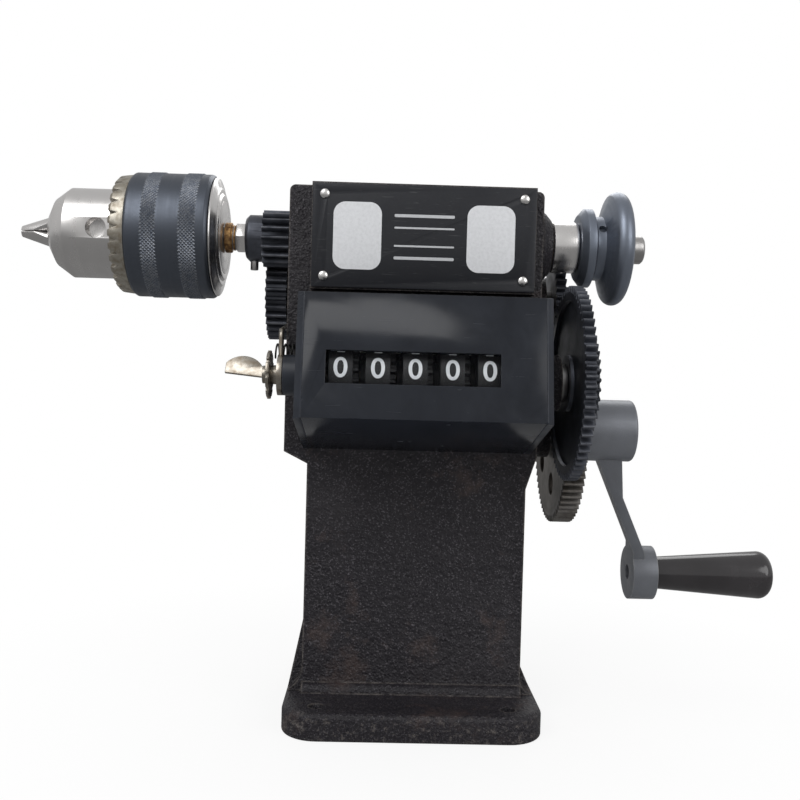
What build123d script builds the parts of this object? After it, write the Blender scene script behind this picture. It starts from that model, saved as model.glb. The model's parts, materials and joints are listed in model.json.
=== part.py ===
"""Hand-cranked wire coil winding machine: cast stand, geared spindle with a key chuck, and a turns counter.

Millimetres. +X runs along the spindle from the chuck to the belt pulley, the operator stands at -Y, +Z is up.
The origin is the centre of the four base bolts, on the underside of the base.
An axis is written as (y, z), because every shaft of the machine runs along X.
"""

import math
import os

from build123d import *

os.makedirs("parts", exist_ok=True)

# Fits ---------------------------------------------------------------------------------------------
RUNNING = 0.05  # radial clearance of a shaft that turns in its bore
SEATED = 0.02  # radial clearance of pieces fixed to each other
GAP = 0.3  # clearance between pieces that pass each other

# Base and column ----------------------------------------------------------------------------------
BASE_WIDTH = 86.0
BASE_DEPTH = 100.0
BASE_THICKNESS = 9.0
BASE_CORNER = 12.0
BASE_TOP_ROUND = 2.0
BASE_FOOT_ROUND = 1.0
BOLT_SPACING_X = 63.0
BOLT_SPACING_Y = 84.0
BOLT_HOLE_R = 2.5

COLUMN_HALF_WIDTH = 37.5
COLUMN_FRONT_Y = -27.0
COLUMN_BACK_Y = 26.0
CASTING_WALL = 7.0
COLUMN_TOP_Z = 87.0
CHEEK_RIGHT_DROP = 7.0  # the right cheek widens this far below the left one
CHEEK_FOOT_Z = 91.0
CHEEK_LEFT_X = -45.5
CHEEK_RIGHT_X = 41.0
CHEEK_WALL = 7.5
HEAD_TOP_Z = 181.5
HEAD_BOTTOM_Z = 146.0
HEAD_FRONT_Y = -33.5
HEAD_ROUND = 2.0
FLARE_LEFT_HEIGHT = 25.0
FLARE_LEFT_REACH = 5.0
FLARE_RIGHT_HEIGHT = 10.0
FLARE_RIGHT_REACH = 4.5
FLARE_SETBACK = 3.0
CORNER_LEFT_HEIGHT = 12.0
CORNER_RIGHT_HEIGHT = 7.0
TOE_ROUND = 3.0

# Gear train ---------------------------------------------------------------------------------------
MODULE = 1.0
BACKLASH = 0.15
CRANK_GEAR_TEETH = 70
INTERMEDIATE_PINION_TEETH = 34
INTERMEDIATE_GEAR_TEETH = 64
LAYSHAFT_PINION_TEETH = 29
LAYSHAFT_GEAR_TEETH = 32
SPINDLE_GEAR_TEETH = 18

SPINDLE_Y = -11.0
SPINDLE_Z = 165.0
LAYSHAFT_DROP = 18.0
INTERMEDIATE_Z = 116.7
CRANK_Z = 98.5

SPINDLE = (SPINDLE_Y, SPINDLE_Z)
LEFT_CENTRES = MODULE * (LAYSHAFT_GEAR_TEETH + SPINDLE_GEAR_TEETH) / 2
LAYSHAFT_Z = SPINDLE_Z - LAYSHAFT_DROP
LAYSHAFT = (SPINDLE_Y + math.sqrt(LEFT_CENTRES**2 - LAYSHAFT_DROP**2), LAYSHAFT_Z)
UPPER_CENTRES = MODULE * (INTERMEDIATE_GEAR_TEETH + LAYSHAFT_PINION_TEETH) / 2
UPPER_RISE = LAYSHAFT_Z - INTERMEDIATE_Z
INTERMEDIATE = (LAYSHAFT[0] - math.sqrt(UPPER_CENTRES**2 - UPPER_RISE**2), INTERMEDIATE_Z)
LOWER_CENTRES = MODULE * (CRANK_GEAR_TEETH + INTERMEDIATE_PINION_TEETH) / 2
LOWER_RISE = INTERMEDIATE_Z - CRANK_Z
CRANK = (INTERMEDIATE[0] + math.sqrt(LOWER_CENTRES**2 - LOWER_RISE**2), CRANK_Z)

# Places along X on the gear side ------------------------------------------------------------------
BEARING_FACE_X = 47.0
SPINDLE_FACE_X = 45.6
INTERMEDIATE_GEAR_X = 49.6
INTERMEDIATE_GEAR_WIDTH = 3.7
INTERMEDIATE_PINION_WIDTH = 4.5
CRANK_GEAR_X = 53.8
CRANK_GEAR_WIDTH = 7.5
CRANK_BOSS_FACE_X = 52.5
WEB_RECESS = 1.2
RIM_WALL = 4.0

# Places along X on the chuck side -----------------------------------------------------------------
LAYSHAFT_GEAR_X = -55.2
LAYSHAFT_GEAR_WIDTH = 7.5
CAM_WIDTH = 1.4
CAM_R = 10.0
CAM_LOBE_R = 12.5
SPINDLE_GEAR_X = -55.8
SPINDLE_GEAR_WIDTH = 9.5
SPINDLE_GEAR_HUB_R = 8.2
SPINDLE_GEAR_HUB_LENGTH = 6.0

# Shafts and bushes --------------------------------------------------------------------------------
SPINDLE_R = 5.0
SPINDLE_THREAD_R = 4.1
SPINDLE_BUSH_WALL = 2.5
SPINDLE_BUSH_R = SPINDLE_R + SPINDLE_BUSH_WALL
SPINDLE_BOSS_WALL = 5.5
SPINDLE_BOSS_R = SPINDLE_BUSH_R + SPINDLE_BOSS_WALL
LAYSHAFT_R = 4.0
BUSH_WALL = 2.0
LAYSHAFT_BUSH_R = LAYSHAFT_R + BUSH_WALL
LAYSHAFT_BOSS_WALL = 3.0
LAYSHAFT_BOSS_R = LAYSHAFT_BUSH_R + LAYSHAFT_BOSS_WALL
CRANK_SHAFT_R = 5.0
CRANK_BUSH_R = CRANK_SHAFT_R + BUSH_WALL
CRANK_BOSS_WALL = 4.0
CRANK_BOSS_R = CRANK_BUSH_R + CRANK_BOSS_WALL
CRANK_BOSS_INSIDE_X = 26.0
STUD_R = 4.0
STUD_LUG_R = 9.5
STUD_HEAD_R = 6.5
STUD_HEAD = 2.0
STUD_DEPTH = 7.0

# Pieces on the spindle ----------------------------------------------------------------------------
THRUST_COLLAR_R = SPINDLE_R + 4.0
THRUST_COLLAR_X = SPINDLE_FACE_X + 0.4
PULLEY_X = 55.4
PULLEY_SMALL_R = 13.9
PULLEY_NECK_R = 11.3
PULLEY_LARGE_R = 20.0
PULLEY_LENGTH = 18.4
SPINDLE_END_X = 79.2
SPINDLE_START_X = -84.0

CHUCK_BODY_R = 15.6
CHUCK_SLEEVE_HOLLOW = 2.0
CHUCK_SLEEVE_WALL = 4.0
CHUCK_SLEEVE_BORE_R = CHUCK_BODY_R + CHUCK_SLEEVE_HOLLOW
CHUCK_SLEEVE_R = CHUCK_SLEEVE_BORE_R + CHUCK_SLEEVE_WALL
CHUCK_SLEEVE_X = -100.5
CHUCK_SLEEVE_END_X = -72.4
CHUCK_NOSE_X = -129.8
CHUCK_NOSE_R = 7.4
CHUCK_BULGE_X = -127.2
CHUCK_BULGE_R = 12.1
CHUCK_SHOULDER_X = -122.3
CHUCK_BACK_X = -69.6
CHUCK_FLANGE_R = CHUCK_SLEEVE_R - 0.7
CHUCK_RING_LENGTH = 5.3
CHUCK_RING_X = CHUCK_SLEEVE_X - CHUCK_RING_LENGTH
CHUCK_RING_TEETH = 28
CHUCK_RING_TOOTH_DEPTH = 3.4
CHUCK_RING_TOOTH_GAP = 2.5
CHUCK_RING_WALL = 1.5
KEY_HOLE_X = -110.8
KEY_HOLE_R = 3.5
KEY_HOLE_DEPTH = 5.0
JAW_COUNT = 3
JAW_TIP_X = -140.7
JAW_TIP_R = 1.95
JAW_R = 2.9
JAW_LENGTH = 28.0
JAW_SLOPE = 15.0
JAW_AXIS_OFFSET = 1.0
JAW_FLARE = 0.33
JAW_SLIT = 0.36
JAW_TRAVEL = 17.5

# Crank --------------------------------------------------------------------------------------------
CRANK_HUB_R = 12.0
CRANK_HUB_X = 62.6
CRANK_HUB_END_X = 85.6
CRANK_THROW_Y = 15.2
CRANK_THROW_Z = -58.6
HANDLE_BORE_R = 3.0
CRANK_EYE_WALL = 7.8
CRANK_EYE_R = HANDLE_BORE_R + CRANK_EYE_WALL
CRANK_EYE_X = 90.0
CRANK_EYE_END_X = 99.9
CRANK_ARM_WIDTH = 13.0
CRANK_ARM_ROOT = 9.5
CRANK_ARM_SETBACK = 4.0
CRANK_ARM_BEND_SETBACK = 2.2
CRANK_ARM_FOOT_THICKNESS = 4.6
HANDLE_LENGTH = 47.5
HANDLE_NECK_R = 6.4
HANDLE_END_R = 9.6
BOLT_RECESS = 6.0

# Counter ------------------------------------------------------------------------------------------
CASE_HALF_WIDTH = 36.6
COVER_THICKNESS = 2.4
CASE_WALL = 2.0
CASE_FRONT_FOOT = (-70.2, 104.7)
CASE_FRONT_TOP = (-62.7, 142.5)
CASE_BACK_TOP = (COLUMN_FRONT_Y, 144.9)
CASE_BACK_FOOT = (COLUMN_FRONT_Y, 92.2)
WINDOW_LEFT_X = -29.8
WINDOW_RIGHT_X = 22.8
WINDOW_FROM_FOOT = 10.6
WINDOW_HEIGHT = 10.1
PANE_THICKNESS = 1.2
PANE_RECESS = 0.4
WHEEL_COUNT = 5
WHEEL_R = 13.0
WHEEL_WIDTH = 7.4
WHEEL_GEAR_WIDTH = 1.7
WHEEL_HUB_WIDTH = 1.7
WHEEL_PLAY = 0.5
WHEEL_PITCH = WHEEL_WIDTH + WHEEL_GEAR_WIDTH + WHEEL_HUB_WIDTH + WHEEL_PLAY
WHEEL_MIDDLE_X = -2.8
WHEEL_BEHIND_WALL = 0.8
WHEEL_SHAFT_R = 2.0
WHEEL_TEETH = 20
WHEEL_HUB_R = WHEEL_SHAFT_R + 3.5
TRANSFER_TEETH = 8
TRANSFER_PLAY = 0.7
TRANSFER_WIDTH = WHEEL_PITCH - WHEEL_WIDTH - TRANSFER_PLAY
TRANSFER_BACKLASH = 0.3
TRANSFER_ADDENDUM = 0.7
TRANSFER_ANGLE = 60.0
TRANSFER_ROD_R = 1.0
ROD_DISTANCE = WHEEL_R + TRANSFER_ROD_R + TRANSFER_PLAY  # the rod runs clear of the wheels
WHEEL_MODULE = 2 * ROD_DISTANCE / (WHEEL_TEETH + TRANSFER_TEETH)
COLLAR_R = 6.4
COLLAR_LENGTH = 4.6
RESET_HUB_R = WHEEL_SHAFT_R + 1.0
RATCHET_R = 7.6
RATCHET_THICKNESS = 1.0
WING_LENGTH = 13.5
WING_HEIGHT = 6.0
WING_THICKNESS = 1.0
LEVER_EYE_WIDTH = 1.6
LEVER_EYE_X = -CASE_HALF_WIDTH - COVER_THICKNESS - COLLAR_LENGTH - 0.2 - LEVER_EYE_WIDTH
LEVER_WIRE_R = 0.8
LEVER_RISE = 14.0
LEVER_STEP_Y = 20.0
COUNTER_SCREW_X = 26.0
COUNTER_SCREW_Z = 128.0
COUNTER_SCREW_R = 2.0
SCREW_HEAD = 2.6

# Name plate ---------------------------------------------------------------------------------------
PLATE_WIDTH = 74.4
PLATE_THICKNESS = 1.0
PLATE_EDGE = 0.6
RIVET_R = 1.0
RIVET_HEAD_R = 1.7
RIVET_HEAD = 0.8
RIVET_DEPTH = 3.5
RIVET_INSET_X = 4.0
RIVET_INSET_Z = 3.6


# Helpers ------------------------------------------------------------------------------------------
def across(axis, x):
    """Plane square to a shaft axis at x: its first direction is +Y and its second +Z."""
    return Plane(origin=(x, axis[0], axis[1]), x_dir=(0, 1, 0), z_dir=(1, 0, 0))


def along(axis):
    """Plane that holds a shaft axis: its first direction is +X and its second +Z."""
    return Plane(origin=(0, axis[0], axis[1]), x_dir=(1, 0, 0), z_dir=(0, -1, 0))


def shaft_axis(axis):
    """The shaft axis itself, for revolving about."""
    return Axis((0, axis[0], axis[1]), (1, 0, 0))


def bar(axis, x_from, x_to, radius, mode=Mode.ADD):
    """Round bar, or bore, on a shaft axis."""
    with BuildSketch(across(axis, x_from)) as circle:
        Circle(radius)
    extrude(circle.sketch, amount=x_to - x_from, mode=mode)


def ring(axis, x_from, x_to, outer, inner):
    """Collar or bush on a shaft axis."""
    with BuildSketch(across(axis, x_from)) as annulus:
        Circle(outer)
        Circle(inner, mode=Mode.SUBTRACT)
    extrude(annulus.sketch, amount=x_to - x_from)


def turned(axis, points, mode=Mode.ADD):
    """Turned shape: closed outline of (x, radius) points revolved about a shaft axis."""
    with BuildSketch(along(axis)) as half:
        with BuildLine():
            Polyline(*points, close=True)
        make_face()
    revolve(half.sketch, axis=shaft_axis(axis), mode=mode)


def direction(axis_from, axis_to):
    """Angle from one shaft axis to another, in degrees from +Y towards +Z."""
    return math.degrees(math.atan2(axis_to[1] - axis_from[1], axis_to[0] - axis_from[0]))


def meshing(angle, teeth):
    """Turn of a gear whose tooth space faces a tooth that points along angle."""
    return angle + 180 + 180 / teeth


def gear_outline(teeth, turn, module=MODULE, backlash=BACKLASH, addendum=1.0):
    """Outline of an involute spur gear about the origin, with the first tooth's middle at turn."""
    pitch_r = module * teeth / 2
    base_r = pitch_r * math.cos(math.radians(20))
    root_r = pitch_r - 1.25 * module
    tip_r = pitch_r + addendum * module
    flank_r = max(base_r, root_r)

    def roll(radius):
        pressure = math.acos(min(1.0, base_r / radius))
        return math.tan(pressure) - pressure

    def spot(radius, tooth, side):
        half = math.pi / (2 * teeth) - backlash / (2 * pitch_r) + roll(pitch_r) - roll(max(radius, flank_r))
        angle = math.radians(turn + 360 * tooth / teeth) + side * half
        return (radius * math.cos(angle), radius * math.sin(angle))

    middle_r = (flank_r + tip_r) / 2
    for tooth in range(teeth):
        if root_r < flank_r:
            Line(spot(root_r, tooth, -1), spot(flank_r, tooth, -1))
        ThreePointArc(spot(flank_r, tooth, -1), spot(middle_r, tooth, -1), spot(tip_r, tooth, -1))
        Line(spot(tip_r, tooth, -1), spot(tip_r, tooth, 1))
        ThreePointArc(spot(tip_r, tooth, 1), spot(middle_r, tooth, 1), spot(flank_r, tooth, 1))
        if root_r < flank_r:
            Line(spot(flank_r, tooth, 1), spot(root_r, tooth, 1))
        Line(spot(root_r, tooth, 1), spot(root_r, tooth + 1, -1))


def gear(axis, x_from, width, teeth, turn, bore, module=MODULE, backlash=BACKLASH, addendum=1.0):
    """Spur gear blank with its bore."""
    with BuildSketch(across(axis, x_from)) as outline:
        with BuildLine():
            gear_outline(teeth, turn, module, backlash, addendum)
        make_face()
        Circle(bore, mode=Mode.SUBTRACT)
    extrude(outline.sketch, amount=width)


def grub_screw(axis, x, radius, inner_r, outer_r, angle=-90.0):
    """Grub screw that points at a shaft axis, from inner_r to outer_r."""
    away = Vector(0, math.cos(math.radians(angle)), math.sin(math.radians(angle)))
    centre = Vector(x, axis[0], axis[1]) + away * inner_r
    with BuildSketch(Plane(origin=centre, x_dir=(1, 0, 0), z_dir=away)) as circle:
        Circle(radius)
    extrude(circle.sketch, amount=outer_r - inner_r)


def grub_hole(axis, x, radius, reach, angle=-90.0):
    """Tapped hole for a grub screw, from the shaft axis outwards."""
    away = Vector(0, math.cos(math.radians(angle)), math.sin(math.radians(angle)))
    with BuildSketch(Plane(origin=(x, axis[0], axis[1]), x_dir=(1, 0, 0), z_dir=away)) as circle:
        Circle(radius)
    extrude(circle.sketch, amount=reach, mode=Mode.SUBTRACT)


def finish_piece(piece, label):
    """Name a finished piece and write it out."""
    piece.part.label = label
    export_step(piece.part, f"parts/{label}.step")


# Stand casting: base plate, hollow column open at the back, head with the bearing cheeks ----------
CASTING_FRONT = Plane(origin=(0, COLUMN_FRONT_Y, 0), x_dir=(1, 0, 0), z_dir=(0, -1, 0))
COLUMN_DEPTH = COLUMN_BACK_Y - COLUMN_FRONT_Y
LEFT_FOOT = (-COLUMN_HALF_WIDTH, BASE_THICKNESS)
RIGHT_FOOT = (COLUMN_HALF_WIDTH, BASE_THICKNESS)

with BuildPart() as base_casting:
    with BuildSketch(Plane.XY):
        RectangleRounded(BASE_WIDTH, BASE_DEPTH, BASE_CORNER)
    extrude(amount=BASE_THICKNESS)
    fillet(base_casting.faces().sort_by(Axis.Z)[-1].edges(), BASE_TOP_ROUND)
    fillet(base_casting.faces().sort_by(Axis.Z)[0].edges(), BASE_FOOT_ROUND)

    # Column and cheeks, as one front outline
    with BuildSketch(CASTING_FRONT) as front_outline:
        with BuildLine():
            Polyline(
                LEFT_FOOT,
                (-COLUMN_HALF_WIDTH, COLUMN_TOP_Z),
                (CHEEK_LEFT_X, CHEEK_FOOT_Z),
                (CHEEK_LEFT_X, HEAD_TOP_Z),
                (CHEEK_RIGHT_X, HEAD_TOP_Z),
                (CHEEK_RIGHT_X, CHEEK_FOOT_Z),
                (COLUMN_HALF_WIDTH, COLUMN_TOP_Z - CHEEK_RIGHT_DROP),
                RIGHT_FOOT,
                close=True,
            )
        make_face()
    extrude(front_outline.sketch, amount=-COLUMN_DEPTH)
    fillet(base_casting.edges().filter_by(Axis.Y).group_by(Axis.Z)[-1], HEAD_ROUND)

    # Head block that carries the name plate
    with BuildSketch(CASTING_FRONT) as head_outline:
        with Locations((0, (HEAD_TOP_Z + HEAD_BOTTOM_Z) / 2)):
            Rectangle(2 * COLUMN_HALF_WIDTH, HEAD_TOP_Z - HEAD_BOTTOM_Z)
    extrude(head_outline.sketch, amount=COLUMN_FRONT_Y - HEAD_FRONT_Y)

    # Flared feet of the side walls, straight behind and rounded in at the front corners
    with BuildSketch(CASTING_FRONT.offset(-FLARE_SETBACK)) as flares:
        with BuildLine():
            Polyline(
                LEFT_FOOT,
                (-COLUMN_HALF_WIDTH - FLARE_LEFT_REACH, BASE_THICKNESS),
                (-COLUMN_HALF_WIDTH, BASE_THICKNESS + FLARE_LEFT_HEIGHT),
                close=True,
            )
        make_face()
        with BuildLine():
            Polyline(
                RIGHT_FOOT,
                (COLUMN_HALF_WIDTH + FLARE_RIGHT_REACH, BASE_THICKNESS),
                (COLUMN_HALF_WIDTH, BASE_THICKNESS + FLARE_RIGHT_HEIGHT),
                close=True,
            )
        make_face()
    extrude(flares.sketch, amount=-(COLUMN_DEPTH - 2 * FLARE_SETBACK))
    with BuildSketch(CASTING_FRONT) as corners:
        for side, reach, height in (
            (-1, FLARE_LEFT_REACH, CORNER_LEFT_HEIGHT),
            (1, FLARE_RIGHT_REACH, CORNER_RIGHT_HEIGHT),
        ):
            foot_x = side * COLUMN_HALF_WIDTH
            with BuildLine():
                Line((foot_x, BASE_THICKNESS), (foot_x + side * reach, BASE_THICKNESS))
                ThreePointArc(
                    (foot_x + side * reach, BASE_THICKNESS),
                    (foot_x + side * 0.24 * reach, BASE_THICKNESS + 0.34 * height),
                    (foot_x, BASE_THICKNESS + height),
                )
                Line((foot_x, BASE_THICKNESS + height), (foot_x, BASE_THICKNESS))
            make_face()
    extrude(corners.sketch, amount=-FLARE_SETBACK)

    # Rounded toe where the front wall meets the base
    with BuildSketch(across((COLUMN_FRONT_Y, BASE_THICKNESS), -COLUMN_HALF_WIDTH)) as toe:
        with BuildLine():
            Line((0, 0), (-TOE_ROUND, 0))
            RadiusArc((-TOE_ROUND, 0), (0, TOE_ROUND), TOE_ROUND)
            Line((0, TOE_ROUND), (0, 0))
        make_face()
    extrude(toe.sketch, amount=2 * COLUMN_HALF_WIDTH)

    # Cavity, open at the back
    with BuildSketch(CASTING_FRONT.offset(-CASTING_WALL)) as cavity:
        with BuildLine():
            Polyline(
                (CASTING_WALL - COLUMN_HALF_WIDTH, BASE_THICKNESS),
                (CASTING_WALL - COLUMN_HALF_WIDTH, COLUMN_TOP_Z),
                (CHEEK_LEFT_X + CHEEK_WALL, CHEEK_FOOT_Z),
                (CHEEK_LEFT_X + CHEEK_WALL, HEAD_TOP_Z - CASTING_WALL),
                (CHEEK_RIGHT_X - CHEEK_WALL, HEAD_TOP_Z - CASTING_WALL),
                (CHEEK_RIGHT_X - CHEEK_WALL, CHEEK_FOOT_Z),
                (COLUMN_HALF_WIDTH - CASTING_WALL, COLUMN_TOP_Z - CHEEK_RIGHT_DROP),
                (COLUMN_HALF_WIDTH - CASTING_WALL, BASE_THICKNESS),
                close=True,
            )
        make_face()
    extrude(cavity.sketch, amount=-COLUMN_DEPTH, mode=Mode.SUBTRACT)

    # Bearing bosses and the lug of the intermediate stud
    turned(
        SPINDLE,
        (
            (CHEEK_RIGHT_X - CHEEK_WALL, 0),
            (CHEEK_RIGHT_X - CHEEK_WALL, SPINDLE_BOSS_R),
            (CHEEK_RIGHT_X + 1.0, SPINDLE_BOSS_R),
            (SPINDLE_FACE_X - 2.0, SPINDLE_BOSS_R - 1.2),
            (SPINDLE_FACE_X, THRUST_COLLAR_R + 0.6),
            (SPINDLE_FACE_X, 0),
        ),
    )
    bar(LAYSHAFT, CHEEK_RIGHT_X - CHEEK_WALL, BEARING_FACE_X, LAYSHAFT_BOSS_R)
    bar(CRANK, CRANK_BOSS_INSIDE_X, CRANK_BOSS_FACE_X, CRANK_BOSS_R)
    lug_x = CASE_HALF_WIDTH + COVER_THICKNESS + GAP
    bar(INTERMEDIATE, lug_x, BEARING_FACE_X, STUD_LUG_R)
    lug_reach = COLUMN_FRONT_Y + 2 * CASTING_WALL - INTERMEDIATE[0]
    with BuildSketch(across(INTERMEDIATE, lug_x)) as lug_web:
        with Locations((lug_reach / 2, 0)):
            Rectangle(lug_reach, 2 * STUD_LUG_R)
    extrude(lug_web.sketch, amount=BEARING_FACE_X - lug_x)

    # Bores
    bar(SPINDLE, CHEEK_LEFT_X, SPINDLE_FACE_X, SPINDLE_BUSH_R + SEATED, mode=Mode.SUBTRACT)
    bar(LAYSHAFT, CHEEK_LEFT_X, BEARING_FACE_X, LAYSHAFT_BUSH_R + SEATED, mode=Mode.SUBTRACT)
    bar(CRANK, CRANK_BOSS_INSIDE_X, CRANK_BOSS_FACE_X, CRANK_BUSH_R + SEATED, mode=Mode.SUBTRACT)
    bar(INTERMEDIATE, BEARING_FACE_X - STUD_DEPTH, BEARING_FACE_X, STUD_R + SEATED, mode=Mode.SUBTRACT)
    with BuildSketch(Plane.XY.offset(BASE_THICKNESS)) as bolts:
        with GridLocations(BOLT_SPACING_X, BOLT_SPACING_Y, 2, 2):
            Circle(BOLT_HOLE_R)
    extrude(bolts.sketch, amount=-BASE_THICKNESS, mode=Mode.SUBTRACT)
    with BuildSketch(CASTING_FRONT) as counter_holes:
        with Locations((-COUNTER_SCREW_X, COUNTER_SCREW_Z), (COUNTER_SCREW_X, COUNTER_SCREW_Z)):
            Circle(COUNTER_SCREW_R + GAP)
    extrude(counter_holes.sketch, amount=-CASTING_WALL, mode=Mode.SUBTRACT)
    plate_z = (HEAD_TOP_Z + HEAD_BOTTOM_Z) / 2
    plate_height = HEAD_TOP_Z - HEAD_BOTTOM_Z - 2 * PLATE_EDGE
    with BuildSketch(CASTING_FRONT.offset(COLUMN_FRONT_Y - HEAD_FRONT_Y)) as rivet_holes:
        with Locations((0, plate_z)):
            with GridLocations(PLATE_WIDTH - 2 * RIVET_INSET_X, plate_height - 2 * RIVET_INSET_Z, 2, 2):
                Circle(RIVET_R + SEATED)
    extrude(rivet_holes.sketch, amount=-RIVET_DEPTH - 0.5, mode=Mode.SUBTRACT)
finish_piece(base_casting, "base_casting")

# Name plate and its rivets ------------------------------------------------------------------------
HEAD_FACE = CASTING_FRONT.offset(COLUMN_FRONT_Y - HEAD_FRONT_Y)

with BuildPart() as name_plate:
    with BuildSketch(HEAD_FACE) as plate_outline:
        with Locations((0, plate_z)):
            RectangleRounded(PLATE_WIDTH, plate_height, PLATE_EDGE)
            with GridLocations(PLATE_WIDTH - 2 * RIVET_INSET_X, plate_height - 2 * RIVET_INSET_Z, 2, 2):
                Circle(RIVET_R + SEATED, mode=Mode.SUBTRACT)
    extrude(plate_outline.sketch, amount=PLATE_THICKNESS)
finish_piece(name_plate, "name_plate")

with BuildPart() as plate_rivets:
    with BuildSketch(HEAD_FACE.offset(PLATE_THICKNESS)) as shanks:
        with Locations((0, plate_z)):
            with GridLocations(PLATE_WIDTH - 2 * RIVET_INSET_X, plate_height - 2 * RIVET_INSET_Z, 2, 2):
                Circle(RIVET_R)
    extrude(shanks.sketch, amount=-PLATE_THICKNESS - RIVET_DEPTH)
    with BuildSketch(HEAD_FACE.offset(PLATE_THICKNESS)) as heads:
        with Locations((0, plate_z)):
            with GridLocations(PLATE_WIDTH - 2 * RIVET_INSET_X, plate_height - 2 * RIVET_INSET_Z, 2, 2):
                Circle(RIVET_HEAD_R)
    extrude(heads.sketch, amount=RIVET_HEAD, taper=30)
finish_piece(plate_rivets, "plate_rivets")

# Bushes -------------------------------------------------------------------------------------------
with BuildPart() as spindle_bush_left:
    ring(SPINDLE, CHEEK_LEFT_X, CHEEK_LEFT_X + CHEEK_WALL, SPINDLE_BUSH_R, SPINDLE_R + RUNNING)
finish_piece(spindle_bush_left, "spindle_bush_left")

with BuildPart() as spindle_bush_right:
    ring(SPINDLE, CHEEK_RIGHT_X - CHEEK_WALL, SPINDLE_FACE_X, SPINDLE_BUSH_R, SPINDLE_R + RUNNING)
finish_piece(spindle_bush_right, "spindle_bush_right")

with BuildPart() as layshaft_bush_left:
    ring(LAYSHAFT, CHEEK_LEFT_X, CHEEK_LEFT_X + CHEEK_WALL, LAYSHAFT_BUSH_R, LAYSHAFT_R + RUNNING)
finish_piece(layshaft_bush_left, "layshaft_bush_left")

with BuildPart() as layshaft_bush_right:
    ring(LAYSHAFT, CHEEK_RIGHT_X - CHEEK_WALL, BEARING_FACE_X, LAYSHAFT_BUSH_R, LAYSHAFT_R + RUNNING)
finish_piece(layshaft_bush_right, "layshaft_bush_right")

with BuildPart() as crank_bush:
    ring(CRANK, CRANK_BOSS_INSIDE_X, CRANK_BOSS_FACE_X, CRANK_BUSH_R, CRANK_SHAFT_R + RUNNING)
finish_piece(crank_bush, "crank_bush")

# Spindle and what turns with it -------------------------------------------------------------------
with BuildPart() as spindle:
    bar(SPINDLE, SPINDLE_START_X, SPINDLE_GEAR_X - SPINDLE_GEAR_HUB_LENGTH, SPINDLE_THREAD_R)
    bar(SPINDLE, SPINDLE_GEAR_X - SPINDLE_GEAR_HUB_LENGTH, SPINDLE_END_X, SPINDLE_R)
    chamfer(spindle.faces().sort_by(Axis.X)[-1].edges(), 0.8)
    chamfer(spindle.faces().sort_by(Axis.X)[0].edges(), 0.6)
finish_piece(spindle, "spindle")

WASHER_X = CHUCK_BACK_X + 0.4
WASHER_THICKNESS = 2.2
BARE_THREAD = 1.8
NUT_X = WASHER_X + WASHER_THICKNESS + BARE_THREAD
NUT_WIDTH = SPINDLE_GEAR_X - SPINDLE_GEAR_HUB_LENGTH - NUT_X - 0.1

with BuildPart() as spindle_washer:
    ring(SPINDLE, WASHER_X, WASHER_X + WASHER_THICKNESS, SPINDLE_THREAD_R + 1.2, SPINDLE_THREAD_R + SEATED)
finish_piece(spindle_washer, "spindle_washer")

with BuildPart() as spindle_nut:
    with BuildSketch(across(SPINDLE, NUT_X)) as hexagon:
        RegularPolygon(SPINDLE_THREAD_R + 1.3, 6)
        Circle(SPINDLE_THREAD_R + SEATED, mode=Mode.SUBTRACT)
    extrude(hexagon.sketch, amount=NUT_WIDTH)
finish_piece(spindle_nut, "spindle_nut")

LEFT_MESH = direction(LAYSHAFT, SPINDLE)
GRUB_R = 1.4
HUB_START_X = SPINDLE_GEAR_X - SPINDLE_GEAR_HUB_LENGTH

with BuildPart() as spindle_gear:
    gear(
        SPINDLE,
        SPINDLE_GEAR_X,
        SPINDLE_GEAR_WIDTH,
        SPINDLE_GEAR_TEETH,
        meshing(LEFT_MESH, SPINDLE_GEAR_TEETH),
        SPINDLE_R + SEATED,
    )
    turned(
        SPINDLE,
        (
            (HUB_START_X, SPINDLE_R + SEATED),
            (HUB_START_X, SPINDLE_GEAR_HUB_R - 1.2),
            (HUB_START_X + 1.2, SPINDLE_GEAR_HUB_R),
            (SPINDLE_GEAR_X + 0.3, SPINDLE_GEAR_HUB_R),
            (SPINDLE_GEAR_X + 0.3, SPINDLE_R + SEATED),
        ),
    )
    grub_hole(SPINDLE, HUB_START_X + 2.8, GRUB_R + SEATED, SPINDLE_GEAR_HUB_R + 1)
finish_piece(spindle_gear, "spindle_gear")

with BuildPart() as spindle_gear_screw:
    grub_screw(SPINDLE, HUB_START_X + 2.8, GRUB_R, SPINDLE_R + SEATED, SPINDLE_GEAR_HUB_R + 3.0)
finish_piece(spindle_gear_screw, "spindle_gear_screw")

COLLAR_LENGTH_STEEL = PULLEY_X - 0.2 - THRUST_COLLAR_X
with BuildPart() as thrust_collar:
    ring(SPINDLE, THRUST_COLLAR_X, PULLEY_X - 0.2, THRUST_COLLAR_R, SPINDLE_R + SEATED)
    chamfer(thrust_collar.edges().filter_by(GeomType.CIRCLE).group_by(SortBy.RADIUS)[-1], 0.5)
    grub_hole(SPINDLE, THRUST_COLLAR_X + COLLAR_LENGTH_STEEL / 2, GRUB_R + SEATED, THRUST_COLLAR_R + 1)
finish_piece(thrust_collar, "thrust_collar")

with BuildPart() as thrust_collar_screw:
    grub_screw(
        SPINDLE,
        THRUST_COLLAR_X + COLLAR_LENGTH_STEEL / 2,
        GRUB_R,
        SPINDLE_R + SEATED,
        THRUST_COLLAR_R - 0.4,
    )
finish_piece(thrust_collar_screw, "thrust_collar_screw")

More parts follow.
